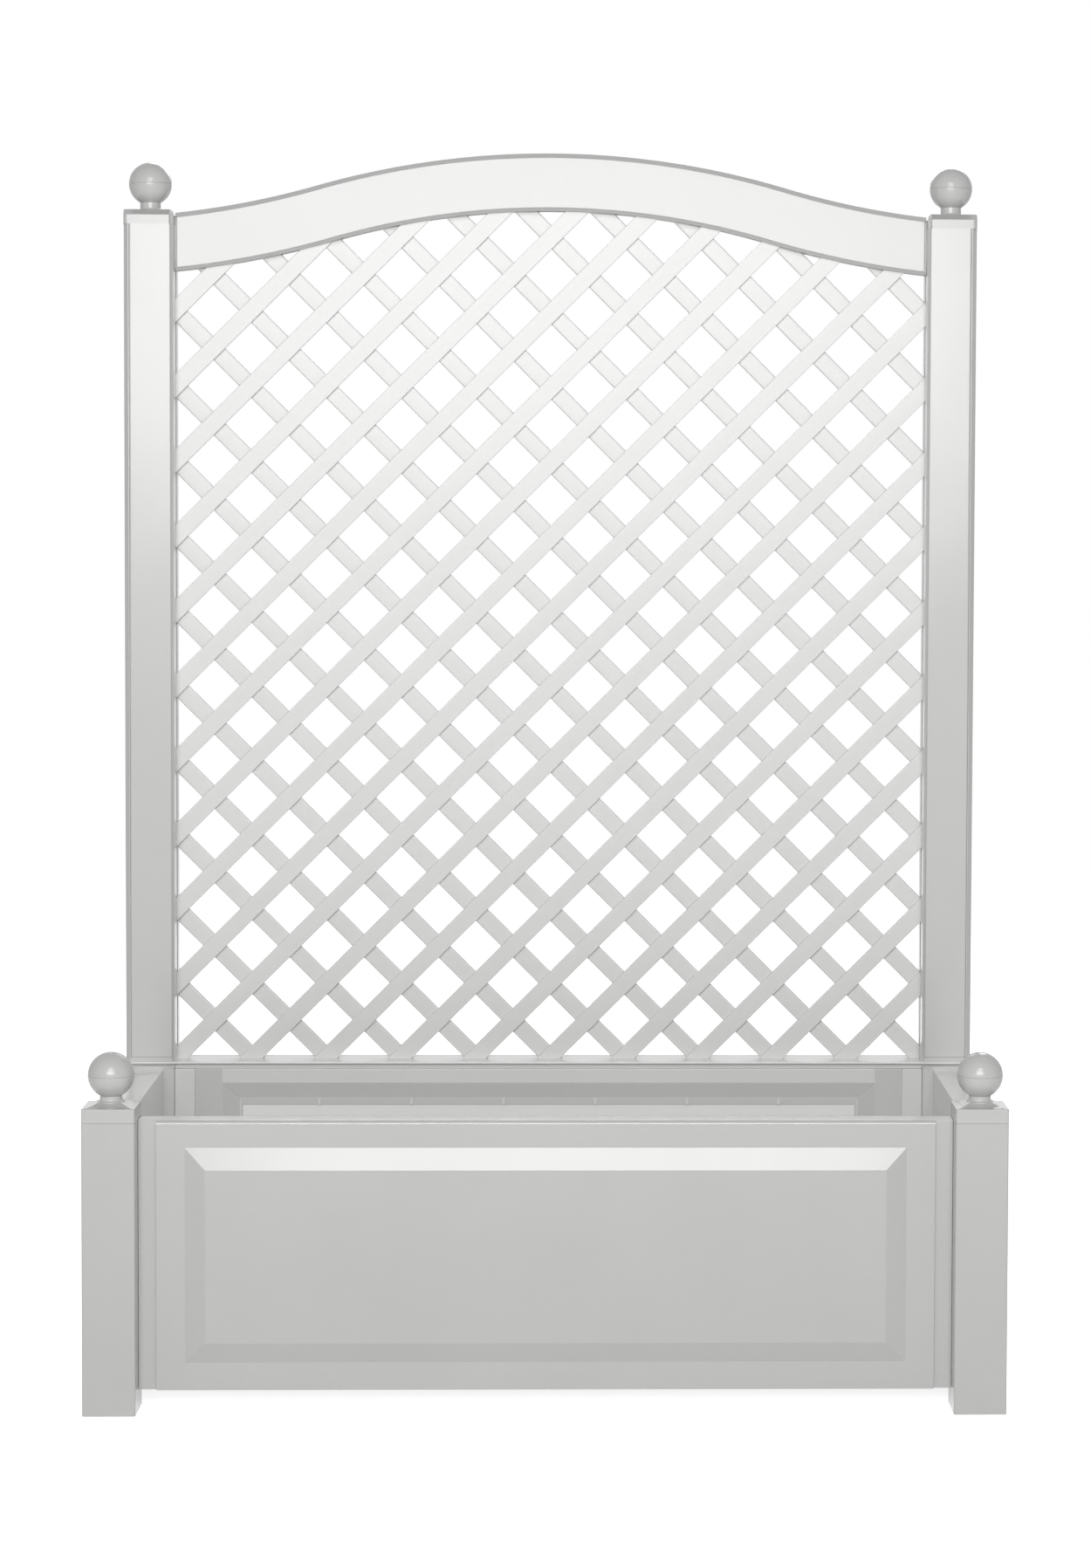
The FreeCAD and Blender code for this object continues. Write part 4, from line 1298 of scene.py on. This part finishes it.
@dataclass
class Softbox:
    """A lamp with a soft rectangular face."""

    name: str  # What it is called
    place: Point  # Where its middle is
    aim: Point  # The point that it faces
    width: float  # Its width
    height: float  # Its height
    glow: float  # The brightness of its face, where 1 is white

    def build(self) -> None:
        """Add the lamp to the scene."""
        data = bpy.data.lights.new(self.name, "AREA")
        data.shape = "RECTANGLE"
        data.size = self.width
        data.size_y = self.height
        data.energy = self.glow * math.pi * self.width * self.height
        lamp = put(self.name, data)
        lamp.location = self.place
        look = Vector(self.aim) - Vector(self.place)
        lamp.rotation_euler = look.to_track_quat("-Z", "Y").to_euler()
        lamp.visible_camera = False


@dataclass
class Studio:
    """A pale floor in a white room with soft light."""

    floor_size: float = 40.0  # The side of the floor
    floor_tone: str = "#F2F2F2"  # The colour of the floor
    floor_lift: float = 0.8  # What is added to the floor in view, so that it runs out to white
    ambient: float = 0.22  # How much light the room sends from all sides
    lamps: tuple[Softbox, ...] = (  # The lamps
        Softbox("front softbox", (-0.1, -3.85, 1.58), (0.0, 0.17, 1.2), 2.4, 1.16, 10.4),
        Softbox("upper softbox", (0.0, -4.2, 3.35), (0.0, -0.19, 0.29), 1.9, 0.8, 10.2),
        Softbox("rear softbox", (0.4, 3.6, 3.0), (0.0, 0.0, 0.6), 2.6, 1.4, 4.5),
    )

    def build(self) -> None:
        """Add the floor, the room and the lamps."""
        self.build_floor()
        self.build_room()
        for lamp in self.lamps:
            lamp.build()

    def seen(self, tree: bpy.types.NodeTree) -> bpy.types.NodeSocket:
        """Add nodes that tell whether a ray comes from the view or from a reflection.

        Args:
            tree: The node tree that gets them.

        Returns:
            A socket that is 1 for such rays.
        """
        path = add_node(tree, "ShaderNodeLightPath").outputs
        ray = path["Is Camera Ray"]
        for kind in ("Is Glossy Ray", "Is Transmission Ray"):
            ray = add_node(tree, "ShaderNodeMath", {0: ray, 1: path[kind]}, operation="MAXIMUM").outputs[0]
        return ray

    def build_floor(self) -> None:
        """Add a matt floor that runs out to white and keeps the shadow."""
        mesh = bmesh.new()
        bmesh.ops.create_grid(mesh, x_segments=1, y_segments=1, size=self.floor_size / 2)
        data = bpy.data.meshes.new("floor")
        mesh.to_mesh(data)
        mesh.free()
        made = bpy.data.materials.new("matt white paper")
        tree = fresh_tree(made)
        paper = add_node(tree, "ShaderNodeBsdfDiffuse", {"Color": linear(self.floor_tone)})
        lift = add_node(
            tree, "ShaderNodeMath", {0: self.seen(tree), 1: self.floor_lift}, operation="MULTIPLY",
        ).outputs[0]
        glow = add_node(tree, "ShaderNodeEmission", {"Strength": lift})
        both = add_node(tree, "ShaderNodeAddShader", {0: paper.outputs[0], 1: glow.outputs[0]})
        add_node(tree, "ShaderNodeOutputMaterial", {"Surface": both.outputs[0]})
        data.materials.append(made)
        floor = put("floor", data)

    def build_room(self) -> None:
        """Add a white room that lights the object evenly."""
        world = bpy.data.worlds.new("white room")
        bpy.context.scene.world = world
        tree = fresh_tree(world)
        light, white = (
            add_node(tree, "ShaderNodeBackground", {"Color": (1, 1, 1, 1), "Strength": strength}).outputs[0]
            for strength in (self.ambient, 1.0)
        )
        mixed = add_node(tree, "ShaderNodeMixShader", {0: self.seen(tree), 1: light, 2: white})
        add_node(tree, "ShaderNodeOutputWorld", {"Surface": mixed.outputs[0]})


@dataclass
class Viewpoint:
    """The camera, fitted to the corners of the object in the photograph."""

    place: Point = (0.032, -3.954, 0.972)  # Where it stands
    tilt: Point = (-2.761, -0.243, -1.440)  # Its turns about X, Y and Z from looking along +Y, in degrees
    focal: float = 4002.0  # The focal length in pixels of the photograph
    image: Span = (1250.0, 1797.0)  # The width and height of the photograph in pixels
    axis: Span = (763.0, 786.0)  # Where the optical axis meets it, in pixels from its upper left corner
    film: float = 36.0  # The long side of the film

    def build(self) -> None:
        """Add the camera and make it the scene's own."""
        long_side = max(self.image)
        data = bpy.data.cameras.new("photograph")
        data.sensor_width = self.film
        data.lens = self.focal / long_side * self.film
        data.shift_x = (self.image[0] / 2 - self.axis[0]) / long_side
        data.shift_y = (self.axis[1] - self.image[1] / 2) / long_side
        camera = put("photograph", data)
        looking = Euler([math.radians(angle) for angle in self.tilt], "XYZ").to_matrix()
        upright = Euler((math.pi / 2, 0, 0), "XYZ").to_matrix()
        camera.matrix_world = Matrix.Translation(self.place) @ (looking @ upright).to_4x4()
        bpy.context.scene.camera = camera


def main() -> None:
    """Build the object, then the studio round it."""
    logging.basicConfig(level=logging.INFO, format="%(name)s: %(message)s")
    bpy.context.scene.view_settings.view_transform = "Standard"
    palette = Palette()
    PlanterBox(palette).build()
    Finials(palette).build()
    Trellis(palette).build()
    Studio().build()
    Viewpoint().build()


if __name__ == "__main__":
    main()
